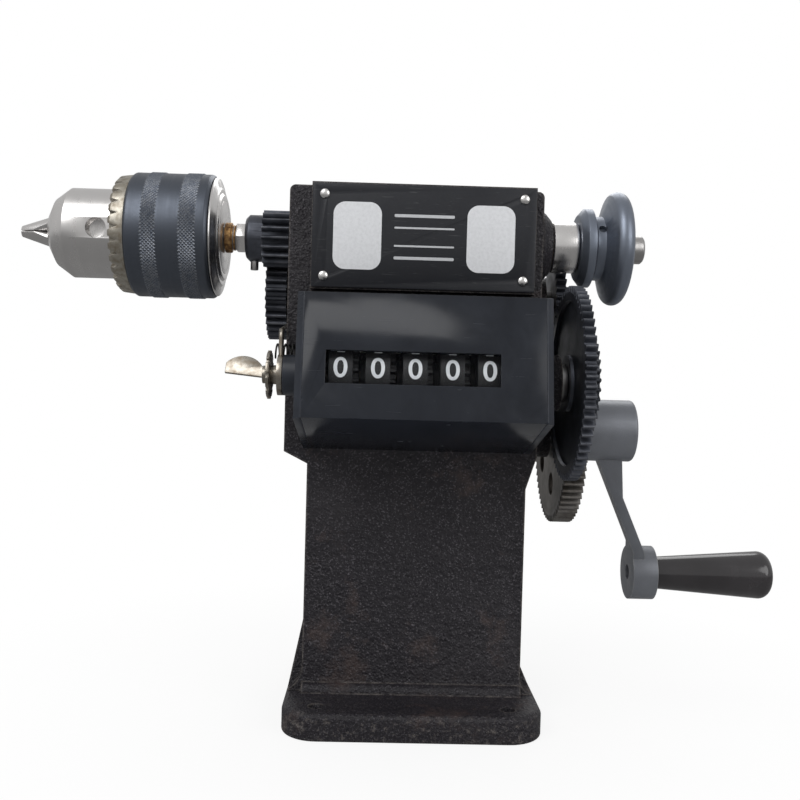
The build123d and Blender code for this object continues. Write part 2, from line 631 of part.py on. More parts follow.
# Belt pulley: small flange, neck, and a wide rounded rim that also serves as a hand wheel
PULLEY_END_X = PULLEY_X + PULLEY_LENGTH
SMALL_FLANGE = 5.6
NECK = 2.8
RIM_RUN_IN = 2.4
PULLEY_SCREW_X = PULLEY_X + SMALL_FLANGE + NECK / 2 + 0.3

with BuildPart() as belt_pulley:
    rim_start = PULLEY_X + SMALL_FLANGE + NECK
    with BuildSketch(along(SPINDLE)) as pulley_half:
        with BuildLine():
            Polyline(
                (rim_start + RIM_RUN_IN, PULLEY_LARGE_R - 1.4),
                (rim_start, PULLEY_NECK_R),
                (PULLEY_X + SMALL_FLANGE, PULLEY_NECK_R),
                (PULLEY_X + SMALL_FLANGE - 1.0, PULLEY_SMALL_R),
                (PULLEY_X + 2.0, PULLEY_SMALL_R),
                (PULLEY_X, PULLEY_SMALL_R - 2.4),
                (PULLEY_X, SPINDLE_R + SEATED),
                (PULLEY_END_X, SPINDLE_R + SEATED),
                (PULLEY_END_X, PULLEY_NECK_R),
                (PULLEY_END_X - 1.6, PULLEY_LARGE_R - 3.4),
            )
            ThreePointArc(
                (PULLEY_END_X - 1.6, PULLEY_LARGE_R - 3.4),
                (PULLEY_END_X - 4.4, PULLEY_LARGE_R),
                (rim_start + RIM_RUN_IN, PULLEY_LARGE_R - 1.4),
            )
        make_face()
    revolve(pulley_half.sketch, axis=shaft_axis(SPINDLE))
    grub_hole(SPINDLE, PULLEY_SCREW_X, GRUB_R + SEATED, PULLEY_NECK_R + 1, angle=150)
finish_piece(belt_pulley, "belt_pulley")

with BuildPart() as pulley_screw:
    grub_screw(SPINDLE, PULLEY_SCREW_X, GRUB_R, SPINDLE_R + SEATED, PULLEY_NECK_R - 1.0, angle=150)
finish_piece(pulley_screw, "pulley_screw")

# Key chuck ----------------------------------------------------------------------------------------
JAW_TAN = math.tan(math.radians(JAW_SLOPE))


def jaw_plane(angle, x):
    """Plane square to a jaw's slanted axis, where that axis crosses x."""
    out = Vector(0, math.cos(math.radians(angle)), math.sin(math.radians(angle)))
    reach = JAW_AXIS_OFFSET + (x - JAW_TIP_X) * JAW_TAN
    origin = Vector(x, SPINDLE[0], SPINDLE[1]) + out * reach
    slant = Vector(1, 0, 0) * math.cos(math.radians(JAW_SLOPE)) + out * math.sin(math.radians(JAW_SLOPE))
    return Plane(origin=origin, x_dir=out.cross(Vector(1, 0, 0)), z_dir=slant)


JAW_ANGLES = [360 / JAW_COUNT * number for number in range(JAW_COUNT)]
BODY_BORE_R = 5.3
BODY_BORE_END_X = -94.0

with BuildPart() as chuck_body:
    turned(
        SPINDLE,
        (
            (CHUCK_NOSE_X, 0),
            (CHUCK_NOSE_X, CHUCK_NOSE_R),
            (CHUCK_BULGE_X, CHUCK_BULGE_R),
            (CHUCK_SHOULDER_X, CHUCK_BODY_R),
            (CHUCK_SLEEVE_END_X + 0.2, CHUCK_BODY_R),
            (CHUCK_SLEEVE_END_X + 0.2, CHUCK_BODY_R - 3.0),
            (CHUCK_BACK_X, CHUCK_BODY_R - 3.0),
            (CHUCK_BACK_X, 0),
        ),
    )
    bar(SPINDLE, CHUCK_NOSE_X, BODY_BORE_END_X, BODY_BORE_R, mode=Mode.SUBTRACT)
    bar(SPINDLE, SPINDLE_START_X - 1.0, CHUCK_BACK_X, SPINDLE_THREAD_R + SEATED, mode=Mode.SUBTRACT)
    for jaw_angle in JAW_ANGLES:
        with BuildSketch(jaw_plane(jaw_angle, CHUCK_NOSE_X - 4.0)) as jaw_bore:
            Circle(JAW_R + 0.2)
        extrude(jaw_bore.sketch, amount=JAW_LENGTH + JAW_TRAVEL - 5.0, mode=Mode.SUBTRACT)
        key_out = Vector(
            0, math.cos(math.radians(jaw_angle + 180)), math.sin(math.radians(jaw_angle + 180))
        )
        key_centre = Vector(KEY_HOLE_X, *SPINDLE) + key_out * (CHUCK_BODY_R - KEY_HOLE_DEPTH)
        with BuildSketch(Plane(origin=key_centre, x_dir=(1, 0, 0), z_dir=key_out)) as key_hole:
            Circle(KEY_HOLE_R)
        extrude(key_hole.sketch, amount=KEY_HOLE_DEPTH + 1, mode=Mode.SUBTRACT)
finish_piece(chuck_body, "chuck_body")

with BuildPart() as chuck_flange:
    turned(
        SPINDLE,
        (
            (CHUCK_SLEEVE_END_X + 0.2, CHUCK_BODY_R - 3.0 + SEATED),
            (CHUCK_SLEEVE_END_X + 0.2, CHUCK_FLANGE_R),
            (CHUCK_SLEEVE_END_X + 0.9, CHUCK_FLANGE_R - 0.4),
            (CHUCK_SLEEVE_END_X + 1.6, CHUCK_FLANGE_R - 3.4),
            (CHUCK_BACK_X - 0.6, CHUCK_FLANGE_R - 4.6),
            (CHUCK_BACK_X - 0.9, CHUCK_FLANGE_R - 5.6),
            (CHUCK_BACK_X, CHUCK_FLANGE_R - 6.2),
            (CHUCK_BACK_X, CHUCK_BODY_R - 3.0 + SEATED),
        ),
    )
finish_piece(chuck_flange, "chuck_flange")

with BuildPart() as chuck_sleeve:
    turned(
        SPINDLE,
        (
            (CHUCK_SLEEVE_X, CHUCK_BODY_R + RUNNING),
            (CHUCK_SLEEVE_X, CHUCK_SLEEVE_R - 0.8),
            (CHUCK_SLEEVE_X + 0.8, CHUCK_SLEEVE_R),
            (CHUCK_SLEEVE_END_X - 1.0, CHUCK_SLEEVE_R),
            (CHUCK_SLEEVE_END_X, CHUCK_SLEEVE_R - 0.8),
            (CHUCK_SLEEVE_END_X, CHUCK_BODY_R + RUNNING),
            (BODY_BORE_END_X + 6.0, CHUCK_BODY_R + RUNNING),
            (BODY_BORE_END_X + 6.0, CHUCK_SLEEVE_BORE_R),
            (CHUCK_SLEEVE_X + 1.6, CHUCK_SLEEVE_BORE_R),
            (CHUCK_SLEEVE_X + 1.6, CHUCK_BODY_R + RUNNING),
        ),
    )
finish_piece(chuck_sleeve, "chuck_sleeve")

with BuildPart() as chuck_ring:
    turned(
        SPINDLE,
        (
            (CHUCK_RING_X, CHUCK_BODY_R + RUNNING),
            (CHUCK_RING_X, CHUCK_SLEEVE_R - 2.2),
            (CHUCK_RING_X + 1.0, CHUCK_SLEEVE_R - 1.3),
            (CHUCK_SLEEVE_X, CHUCK_SLEEVE_R - 0.8),
            (CHUCK_SLEEVE_X, CHUCK_BODY_R + RUNNING),
        ),
    )
    # Pointed gaps between the teeth that the chuck key turns
    for tooth in range(CHUCK_RING_TEETH):
        tooth_turn = math.radians(360 * tooth / CHUCK_RING_TEETH)
        tooth_out = Vector(0, math.cos(tooth_turn), math.sin(tooth_turn))
        gap_foot = Vector(CHUCK_RING_X, *SPINDLE) + tooth_out * (CHUCK_BODY_R + CHUCK_RING_WALL)
        with BuildSketch(Plane(origin=gap_foot, x_dir=(1, 0, 0), z_dir=tooth_out)) as tooth_gap:
            with BuildLine():
                Polyline(
                    (0, CHUCK_RING_TOOTH_GAP / 2),
                    (CHUCK_RING_TOOTH_DEPTH, 0),
                    (0, -CHUCK_RING_TOOTH_GAP / 2),
                    (-1.0, 0),
                    close=True,
                )
            make_face()
        extrude(tooth_gap.sketch, amount=CHUCK_SLEEVE_R - CHUCK_BODY_R, mode=Mode.SUBTRACT)
finish_piece(chuck_ring, "chuck_ring")

for number, jaw_angle in enumerate(JAW_ANGLES, start=1):
    with BuildPart() as chuck_jaw:
        with BuildSketch(jaw_plane(jaw_angle, JAW_TIP_X - 3.0)) as jaw_rod:
            Circle(JAW_R)
        extrude(jaw_rod.sketch, amount=JAW_LENGTH + 3.0)
        turned(
            SPINDLE,
            (
                (JAW_TIP_X, 0),
                (JAW_TIP_X, JAW_TIP_R),
                (JAW_TIP_X + 40.0, JAW_TIP_R + 40.0 * JAW_FLARE),
                (JAW_TIP_X + 40.0, 0),
            ),
            mode=Mode.INTERSECT,
        )
        with BuildSketch(across(SPINDLE, JAW_TIP_X - 5.0)) as sector:
            with BuildLine():
                half_sector = math.radians(180 / JAW_COUNT)
                jaw_turn = math.radians(jaw_angle)
                start = JAW_SLIT / math.sin(half_sector) / 2
                Polyline(
                    (start * math.cos(jaw_turn), start * math.sin(jaw_turn)),
                    (
                        start * math.cos(jaw_turn) + 30 * math.cos(jaw_turn - half_sector),
                        start * math.sin(jaw_turn) + 30 * math.sin(jaw_turn - half_sector),
                    ),
                    (60 * math.cos(jaw_turn), 60 * math.sin(jaw_turn)),
                    (
                        start * math.cos(jaw_turn) + 30 * math.cos(jaw_turn + half_sector),
                        start * math.sin(jaw_turn) + 30 * math.sin(jaw_turn + half_sector),
                    ),
                    close=True,
                )
            make_face()
        extrude(sector.sketch, amount=JAW_LENGTH + 20.0, mode=Mode.INTERSECT)
    finish_piece(chuck_jaw, f"chuck_jaw_{number}")

# Intermediate gears, on their stud ----------------------------------------------------------------
PINION_X = INTERMEDIATE_GEAR_X + INTERMEDIATE_GEAR_WIDTH
STUD_END_X = PINION_X + INTERMEDIATE_PINION_WIDTH + GAP
LOWER_MESH = direction(CRANK, INTERMEDIATE)
UPPER_MESH = direction(INTERMEDIATE, LAYSHAFT)

with BuildPart() as intermediate_gear:
    gear(
        INTERMEDIATE,
        INTERMEDIATE_GEAR_X,
        INTERMEDIATE_GEAR_WIDTH,
        INTERMEDIATE_GEAR_TEETH,
        UPPER_MESH,
        STUD_R + RUNNING,
    )
    web_r = MODULE * INTERMEDIATE_GEAR_TEETH / 2 - RIM_WALL
    with BuildSketch(across(INTERMEDIATE, INTERMEDIATE_GEAR_X)) as web:
        Circle(web_r)
        Circle(STUD_HEAD_R + 3.0, mode=Mode.SUBTRACT)
    extrude(web.sketch, amount=WEB_RECESS, mode=Mode.SUBTRACT)
finish_piece(intermediate_gear, "intermediate_gear")

with BuildPart() as intermediate_pinion:
    gear(
        INTERMEDIATE,
        PINION_X,
        INTERMEDIATE_PINION_WIDTH,
        INTERMEDIATE_PINION_TEETH,
        meshing(LOWER_MESH, INTERMEDIATE_PINION_TEETH),
        STUD_R + RUNNING,
    )
finish_piece(intermediate_pinion, "intermediate_pinion")

with BuildPart() as intermediate_stud:
    bar(INTERMEDIATE, BEARING_FACE_X - STUD_DEPTH, STUD_END_X, STUD_R)
    bar(INTERMEDIATE, STUD_END_X, STUD_END_X + STUD_HEAD, STUD_HEAD_R)
    with BuildSketch(across(INTERMEDIATE, STUD_END_X + STUD_HEAD)) as slot:
        Rectangle(3 * STUD_HEAD_R, 1.2)
    extrude(slot.sketch, amount=-0.9, mode=Mode.SUBTRACT)
    bar(INTERMEDIATE, BEARING_FACE_X, INTERMEDIATE_GEAR_X - GAP, STUD_HEAD_R)
finish_piece(intermediate_stud, "intermediate_stud")

# Layshaft -----------------------------------------------------------------------------------------
LAYSHAFT_START_X = LAYSHAFT_GEAR_X - 0.8
LAYSHAFT_END_X = INTERMEDIATE_GEAR_X + INTERMEDIATE_GEAR_WIDTH + 1.6
CAM_X = LAYSHAFT_GEAR_X + LAYSHAFT_GEAR_WIDTH

with BuildPart() as layshaft:
    bar(LAYSHAFT, LAYSHAFT_START_X, LAYSHAFT_END_X, LAYSHAFT_R)
    chamfer(layshaft.faces().sort_by(Axis.X)[-1].edges(), 0.5)
    chamfer(layshaft.faces().sort_by(Axis.X)[0].edges(), 0.5)
finish_piece(layshaft, "layshaft")

with BuildPart() as layshaft_pinion:
    gear(
        LAYSHAFT,
        INTERMEDIATE_GEAR_X,
        INTERMEDIATE_GEAR_WIDTH,
        LAYSHAFT_PINION_TEETH,
        meshing(UPPER_MESH, LAYSHAFT_PINION_TEETH),
        LAYSHAFT_R + SEATED,
    )
finish_piece(layshaft_pinion, "layshaft_pinion")

with BuildPart() as layshaft_gear:
    gear(
        LAYSHAFT,
        LAYSHAFT_GEAR_X,
        LAYSHAFT_GEAR_WIDTH,
        LAYSHAFT_GEAR_TEETH,
        LEFT_MESH,
        LAYSHAFT_R + SEATED,
    )
finish_piece(layshaft_gear, "layshaft_gear")

with BuildPart() as feeler_cam:
    with BuildSketch(across(LAYSHAFT, CAM_X)) as cam:
        Circle(CAM_R)
        with Locations((CAM_LOBE_R - CAM_R / 2, 0)):
            Circle(CAM_R / 2)
        Circle(LAYSHAFT_R + SEATED, mode=Mode.SUBTRACT)
    extrude(cam.sketch, amount=CAM_WIDTH)
finish_piece(feeler_cam, "feeler_cam")

# Crank --------------------------------------------------------------------------------------------
EYE = (CRANK[0] + CRANK_THROW_Y, CRANK[1] + CRANK_THROW_Z)
THROW = math.hypot(CRANK_THROW_Y, CRANK_THROW_Z)
CRANK_SHAFT_START_X = CRANK_BOSS_INSIDE_X - 6.0

with BuildPart() as crank_shaft:
    bar(CRANK, CRANK_SHAFT_START_X, CRANK_HUB_END_X, CRANK_SHAFT_R)
    chamfer(crank_shaft.faces().sort_by(Axis.X)[0].edges(), 0.6)
finish_piece(crank_shaft, "crank_shaft")

with BuildPart() as crank_shaft_collar:
    ring(
        CRANK,
        CRANK_SHAFT_START_X + 1.0,
        CRANK_BOSS_INSIDE_X - GAP,
        CRANK_BUSH_R + 2.0,
        CRANK_SHAFT_R + SEATED,
    )
finish_piece(crank_shaft_collar, "crank_shaft_collar")

LIGHTENING_COUNT = 6
LIGHTENING_R = 4.4
LIGHTENING_CIRCLE_R = 21.5

with BuildPart() as crank_gear:
    gear(
        CRANK,
        CRANK_GEAR_X,
        CRANK_GEAR_WIDTH,
        CRANK_GEAR_TEETH,
        LOWER_MESH,
        CRANK_SHAFT_R + SEATED,
    )
    with BuildSketch(across(CRANK, CRANK_GEAR_X)) as lightening:
        with PolarLocations(LIGHTENING_CIRCLE_R, LIGHTENING_COUNT, start_angle=18):
            Circle(LIGHTENING_R)
    extrude(lightening.sketch, amount=CRANK_GEAR_WIDTH, mode=Mode.SUBTRACT)
finish_piece(crank_gear, "crank_gear")

# The arm lies in the plane of the two axes: first direction +X, second from the hub axis down to the eye axis
ARM_DOWN = Vector(0, CRANK_THROW_Y / THROW, CRANK_THROW_Z / THROW)
ARM_PLANE = Plane(origin=(0, *CRANK), x_dir=(1, 0, 0), z_dir=Vector(1, 0, 0).cross(ARM_DOWN))
ARM_BEND_UPPER = 25.5
ARM_BEND_LOWER = THROW - CRANK_EYE_R + 3.5
ARM_ROOT_X = CRANK_HUB_END_X - CRANK_ARM_SETBACK
ARM_FOOT_X = CRANK_EYE_END_X - 5.4

with BuildPart() as crank_arm:
    ring(CRANK, CRANK_HUB_X, CRANK_HUB_END_X, CRANK_HUB_R, CRANK_SHAFT_R + SEATED)
    ring(EYE, CRANK_EYE_X, CRANK_EYE_END_X, CRANK_EYE_R, HANDLE_BORE_R + SEATED)
    fillet(crank_arm.edges().filter_by(GeomType.CIRCLE).group_by(SortBy.RADIUS)[-1], 1.2)
    with BuildSketch(ARM_PLANE) as arm_side:
        with BuildLine():
            Polyline(
                (ARM_ROOT_X - CRANK_ARM_ROOT, CRANK_SHAFT_R + 2.0),
                (ARM_ROOT_X - CRANK_ARM_ROOT, CRANK_HUB_R - 2.0),
                (ARM_FOOT_X - CRANK_ARM_FOOT_THICKNESS, ARM_BEND_LOWER - 4.0),
                (CRANK_EYE_X + 0.4, THROW - HANDLE_BORE_R - 1.0),
                (ARM_FOOT_X + 1.0, THROW - HANDLE_BORE_R - 1.0),
                (ARM_FOOT_X, ARM_BEND_LOWER - 4.0),
                (CRANK_HUB_END_X - CRANK_ARM_BEND_SETBACK, ARM_BEND_UPPER),
                (ARM_ROOT_X, CRANK_HUB_R - 2.0),
                (ARM_ROOT_X, CRANK_SHAFT_R + 2.0),
                close=True,
            )
        make_face()
    extrude(arm_side.sketch, amount=CRANK_ARM_WIDTH / 2, both=True)
finish_piece(crank_arm, "crank_arm")

GRIP_X = CRANK_EYE_END_X + 0.6
GRIP_END_X = GRIP_X + HANDLE_LENGTH
BOLT_HEAD_R = 5.0
BOLT_HEAD = 2.4
GRIP_ROUND = 4.6

with BuildPart() as handle_bolt:
    bar(EYE, CRANK_EYE_X + 1.5, GRIP_END_X - BOLT_RECESS, HANDLE_BORE_R)
    with BuildSketch(across(EYE, CRANK_EYE_X + 1.5)) as bolt_slot:
        Rectangle(3 * HANDLE_BORE_R, 1.0)
    extrude(bolt_slot.sketch, amount=1.0, mode=Mode.SUBTRACT)
    bar(EYE, GRIP_END_X - BOLT_RECESS, GRIP_END_X - BOLT_RECESS + BOLT_HEAD, BOLT_HEAD_R)
finish_piece(handle_bolt, "handle_bolt")

with BuildPart() as handle_grip:
    with BuildSketch(along(EYE)) as grip_half:
        with BuildLine():
            Polyline(
                (GRIP_END_X, BOLT_HEAD_R + GAP),
                (GRIP_END_X - BOLT_RECESS - GAP, BOLT_HEAD_R + GAP),
                (GRIP_END_X - BOLT_RECESS - GAP, HANDLE_BORE_R + RUNNING),
                (GRIP_X, HANDLE_BORE_R + RUNNING),
                (GRIP_X, HANDLE_NECK_R),
                (GRIP_END_X - GRIP_ROUND, HANDLE_END_R),
            )
            ThreePointArc(
                (GRIP_END_X - GRIP_ROUND, HANDLE_END_R),
                (GRIP_END_X - 0.28 * GRIP_ROUND, HANDLE_END_R - 0.3 * GRIP_ROUND),
                (GRIP_END_X, BOLT_HEAD_R + GAP),
            )
        make_face()
    revolve(grip_half.sketch, axis=shaft_axis(EYE))
finish_piece(handle_grip, "handle_grip")

GRIP_CAP = 3.0
with BuildPart() as grip_cap:
    bar(EYE, GRIP_END_X - GRIP_CAP, GRIP_END_X, BOLT_HEAD_R + GAP - SEATED)
    fillet(grip_cap.faces().sort_by(Axis.X)[-1].edges(), 1.2)
finish_piece(grip_cap, "grip_cap")

# Counter ------------------------------------------------------------------------------------------
FACE_LENGTH = math.hypot(CASE_FRONT_TOP[0] - CASE_FRONT_FOOT[0], CASE_FRONT_TOP[1] - CASE_FRONT_FOOT[1])
FACE_UP = Vector(
    0,
    (CASE_FRONT_TOP[0] - CASE_FRONT_FOOT[0]) / FACE_LENGTH,
    (CASE_FRONT_TOP[1] - CASE_FRONT_FOOT[1]) / FACE_LENGTH,
)
FACE_OUT = Vector(1, 0, 0).cross(FACE_UP)
# The counter's front face: first direction +X, second up the face, and it looks at the operator
FACE = Plane(origin=(0, *CASE_FRONT_FOOT), x_dir=(1, 0, 0), z_dir=FACE_OUT)
WINDOW_MIDDLE_X = (WINDOW_LEFT_X + WINDOW_RIGHT_X) / 2
WINDOW_MIDDLE = WINDOW_FROM_FOOT + WINDOW_HEIGHT / 2
WINDOW_CENTRE = Vector(0, *CASE_FRONT_FOOT) + FACE_UP * WINDOW_MIDDLE
WHEEL_CENTRE = WINDOW_CENTRE - FACE_OUT * (CASE_WALL + WHEEL_BEHIND_WALL + WHEEL_R)
WHEELS = (WHEEL_CENTRE.Y, WHEEL_CENTRE.Z)
ROD = (
    WHEELS[0] + ROD_DISTANCE * math.cos(math.radians(TRANSFER_ANGLE)),
    WHEELS[1] + ROD_DISTANCE * math.sin(math.radians(TRANSFER_ANGLE)),
)
COVER_FRONT_BEVEL = 2.0


def counter_prism(x_from, length, inset=0.0, mode=Mode.ADD):
    """Prism of the counter's side outline, pulled in by inset."""
    with BuildSketch(across((0, 0), x_from)) as outline:
        with BuildLine():
            Polyline(CASE_FRONT_FOOT, CASE_FRONT_TOP, CASE_BACK_TOP, CASE_BACK_FOOT, close=True)
        make_face()
        if inset:
            offset(amount=-inset, kind=Kind.INTERSECTION, mode=Mode.REPLACE)
    extrude(outline.sketch, amount=length, mode=mode)


with BuildPart() as counter_case:
    counter_prism(-CASE_HALF_WIDTH, 2 * CASE_HALF_WIDTH)
    counter_prism(-CASE_HALF_WIDTH, 2 * CASE_HALF_WIDTH, CASE_WALL, Mode.SUBTRACT)
    # Open at the back, where the stand closes it
    with BuildSketch(CASTING_FRONT) as back_opening:
        with Locations((0, (CASE_BACK_TOP[1] + CASE_BACK_FOOT[1]) / 2)):
            Rectangle(2 * CASE_HALF_WIDTH, CASE_BACK_TOP[1] - CASE_BACK_FOOT[1] - 3 * CASE_WALL)
    extrude(back_opening.sketch, amount=CASE_WALL, mode=Mode.SUBTRACT)
    with BuildSketch(FACE) as window_cut:
        with Locations((WINDOW_MIDDLE_X, WINDOW_MIDDLE)):
            Rectangle(WINDOW_RIGHT_X - WINDOW_LEFT_X, WINDOW_HEIGHT)
    extrude(window_cut.sketch, amount=-CASE_WALL, mode=Mode.SUBTRACT)
    # Blocks behind, tapped for the screws that hold the counter to the stand
    with BuildSketch(CASTING_FRONT) as blocks:
        with Locations((-COUNTER_SCREW_X, COUNTER_SCREW_Z), (COUNTER_SCREW_X, COUNTER_SCREW_Z)):
            Rectangle(10.0, 2 * (CASE_BACK_TOP[1] - COUNTER_SCREW_Z) - 1.5 * CASE_WALL)
            Circle(COUNTER_SCREW_R + SEATED, mode=Mode.SUBTRACT)
    extrude(blocks.sketch, amount=8.0)
finish_piece(counter_case, "counter_case")

with BuildPart() as counter_window:
    with BuildSketch(FACE.offset(-PANE_RECESS)) as pane:
        with Locations((WINDOW_MIDDLE_X, WINDOW_MIDDLE)):
            Rectangle(WINDOW_RIGHT_X - WINDOW_LEFT_X - 0.1, WINDOW_HEIGHT - 0.1)
    extrude(pane.sketch, amount=-PANE_THICKNESS)
finish_piece(counter_window, "counter_window")

COVER_LEFT_X = -CASE_HALF_WIDTH - COVER_THICKNESS

with BuildPart() as counter_cover_left:
    counter_prism(COVER_LEFT_X, COVER_THICKNESS)
    chamfer(counter_cover_left.faces().sort_by(Axis.X)[0].edges().sort_by(Axis.Y)[0], COVER_FRONT_BEVEL)
    bar(WHEELS, COVER_LEFT_X - COLLAR_LENGTH, COVER_LEFT_X, COLLAR_R)
    bar(WHEELS, COVER_LEFT_X - COLLAR_LENGTH, -CASE_HALF_WIDTH, WHEEL_SHAFT_R + RUNNING, mode=Mode.SUBTRACT)
    bar(ROD, COVER_LEFT_X, -CASE_HALF_WIDTH, TRANSFER_ROD_R + SEATED, mode=Mode.SUBTRACT)
finish_piece(counter_cover_left, "counter_cover_left")

with BuildPart() as counter_cover_right:
    counter_prism(CASE_HALF_WIDTH, COVER_THICKNESS)
    chamfer(counter_cover_right.faces().sort_by(Axis.X)[-1].edges().sort_by(Axis.Y)[0], COVER_FRONT_BEVEL)
    bar(WHEELS, CASE_HALF_WIDTH, CASE_HALF_WIDTH + 1.4, WHEEL_SHAFT_R + RUNNING, mode=Mode.SUBTRACT)
    bar(ROD, CASE_HALF_WIDTH, CASE_HALF_WIDTH + COVER_THICKNESS, TRANSFER_ROD_R + SEATED, mode=Mode.SUBTRACT)
finish_piece(counter_cover_right, "counter_cover_right")

with BuildPart() as counter_screws:
    for screw_x in (-COUNTER_SCREW_X, COUNTER_SCREW_X):
        with BuildSketch(CASTING_FRONT.offset(-CASTING_WALL)) as shank:
            with Locations((screw_x, COUNTER_SCREW_Z)):
                Circle(COUNTER_SCREW_R)
        extrude(shank.sketch, amount=CASTING_WALL + 6.0)
        with BuildSketch(CASTING_FRONT.offset(-CASTING_WALL)) as screw_head:
            with Locations((screw_x, COUNTER_SCREW_Z)):
                Circle(1.9 * COUNTER_SCREW_R)
        extrude(screw_head.sketch, amount=-SCREW_HEAD)
        with BuildSketch(CASTING_FRONT.offset(-CASTING_WALL - SCREW_HEAD)) as driver_slot:
            with Locations((screw_x, COUNTER_SCREW_Z)):
                Rectangle(5 * COUNTER_SCREW_R, 0.9)
        extrude(driver_slot.sketch, amount=1.2, mode=Mode.SUBTRACT)
finish_piece(counter_screws, "counter_screws")

# Number wheels, units first from the right, each with the gear that its transfer pinion turns
WHEEL_ANGLE = TRANSFER_ANGLE
WHEEL_STEPS = range(WHEEL_COUNT)
WHEEL_XS = [WHEEL_MIDDLE_X + WHEEL_PITCH * ((WHEEL_COUNT - 1) / 2 - step) for step in WHEEL_STEPS]

for number, wheel_x in enumerate(WHEEL_XS, start=1):
    with BuildPart() as number_wheel:
        ring(WHEELS, wheel_x - WHEEL_WIDTH / 2, wheel_x + WHEEL_WIDTH / 2, WHEEL_R, WHEEL_SHAFT_R + RUNNING)
        if number > 1:
            gear(
                WHEELS,
                wheel_x + WHEEL_WIDTH / 2,
                WHEEL_GEAR_WIDTH,
                WHEEL_TEETH,
                WHEEL_ANGLE,
                WHEEL_SHAFT_R + RUNNING,
                WHEEL_MODULE,
                TRANSFER_BACKLASH,
                TRANSFER_ADDENDUM,
            )
        if number < WHEEL_COUNT:
            hub_x = wheel_x - WHEEL_WIDTH / 2
            ring(WHEELS, hub_x - WHEEL_HUB_WIDTH, hub_x, WHEEL_HUB_R, WHEEL_SHAFT_R + RUNNING)
    finish_piece(number_wheel, f"number_wheel_{number}")

for number in range(1, WHEEL_COUNT):
    transfer_x = (WHEEL_XS[number - 1] + WHEEL_XS[number] - TRANSFER_WIDTH) / 2
    with BuildPart() as transfer_pinion:
        gear(
            ROD,
            transfer_x,
            TRANSFER_WIDTH,
            TRANSFER_TEETH,
            meshing(WHEEL_ANGLE, TRANSFER_TEETH),
            TRANSFER_ROD_R + RUNNING,
            WHEEL_MODULE,
            TRANSFER_BACKLASH,
            TRANSFER_ADDENDUM,
        )
    finish_piece(transfer_pinion, f"transfer_pinion_{number}")

with BuildPart() as transfer_rod:
    bar(ROD, COVER_LEFT_X, CASE_HALF_WIDTH + COVER_THICKNESS, TRANSFER_ROD_R)
finish_piece(transfer_rod, "transfer_rod")

# Reset shaft with its hub, ratchet disc and thumb wing
RESET_HUB_X = LEVER_EYE_X - 2.2
RATCHET_X = RESET_HUB_X - RATCHET_THICKNESS

with BuildPart() as reset_shaft:
    bar(WHEELS, RATCHET_X, CASE_HALF_WIDTH + 1.2, WHEEL_SHAFT_R)
    ring(WHEELS, RESET_HUB_X, COVER_LEFT_X - COLLAR_LENGTH - 0.2, RESET_HUB_R, WHEEL_SHAFT_R)
finish_piece(reset_shaft, "reset_shaft")

with BuildPart() as reset_ratchet:
    ring(WHEELS, RATCHET_X, RESET_HUB_X, RATCHET_R, WHEEL_SHAFT_R + SEATED)
    with BuildSketch(across(WHEELS, RATCHET_X)) as ratchet_notches:
        with PolarLocations(RATCHET_R, 10):
            Rectangle(2.0, 1.4)
    extrude(ratchet_notches.sketch, amount=RATCHET_THICKNESS, mode=Mode.SUBTRACT)
finish_piece(reset_ratchet, "reset_ratchet")

# The wing is one half-moon plate that leans back a little from the shaft
WING_LEAN = 25.0
WING_UP = Vector(0, math.sin(math.radians(WING_LEAN)), math.cos(math.radians(WING_LEAN)))
WING_PLANE = Plane(origin=(RATCHET_X, *WHEELS), x_dir=(-1, 0, 0), z_dir=Vector(-1, 0, 0).cross(WING_UP))

with BuildPart() as reset_wing:
    bar(WHEELS, RATCHET_X - 1.6, RATCHET_X, WHEEL_SHAFT_R + 0.8)
    with BuildSketch(WING_PLANE) as wing:
        with BuildLine():
            Line((0.4, -1.2), (WING_LENGTH, 0.2))
            Line((WING_LENGTH, 0.2), (WING_LENGTH - 0.2, 0.6 * WING_HEIGHT))
            ThreePointArc(
                (WING_LENGTH - 0.2, 0.6 * WING_HEIGHT),
                (WING_LENGTH * 0.5, WING_HEIGHT),
                (1.4, 0.3 * WING_HEIGHT),
            )
            Line((1.4, 0.3 * WING_HEIGHT), (0.4, -1.2))
        make_face()
    extrude(wing.sketch, amount=WING_THICKNESS / 2, both=True)
finish_piece(reset_wing, "reset_wing")

# Feeler lever: an eye beside the collar and a wire that stands up and then runs back beside the cam
LEVER_X = LEVER_EYE_X + LEVER_EYE_WIDTH / 2
LEVER_SIDE_X = CHEEK_LEFT_X - GAP - LEVER_WIRE_R
LEVER_TIP_R = CAM_LOBE_R + GAP + LEVER_WIRE_R
LEVER_TIP_ANGLE = math.radians(55)
LEVER_TIP_Y = LAYSHAFT[0] - LEVER_TIP_R * math.cos(LEVER_TIP_ANGLE)
LEVER_TIP_Z = LAYSHAFT[1] - LEVER_TIP_R * math.sin(LEVER_TIP_ANGLE)

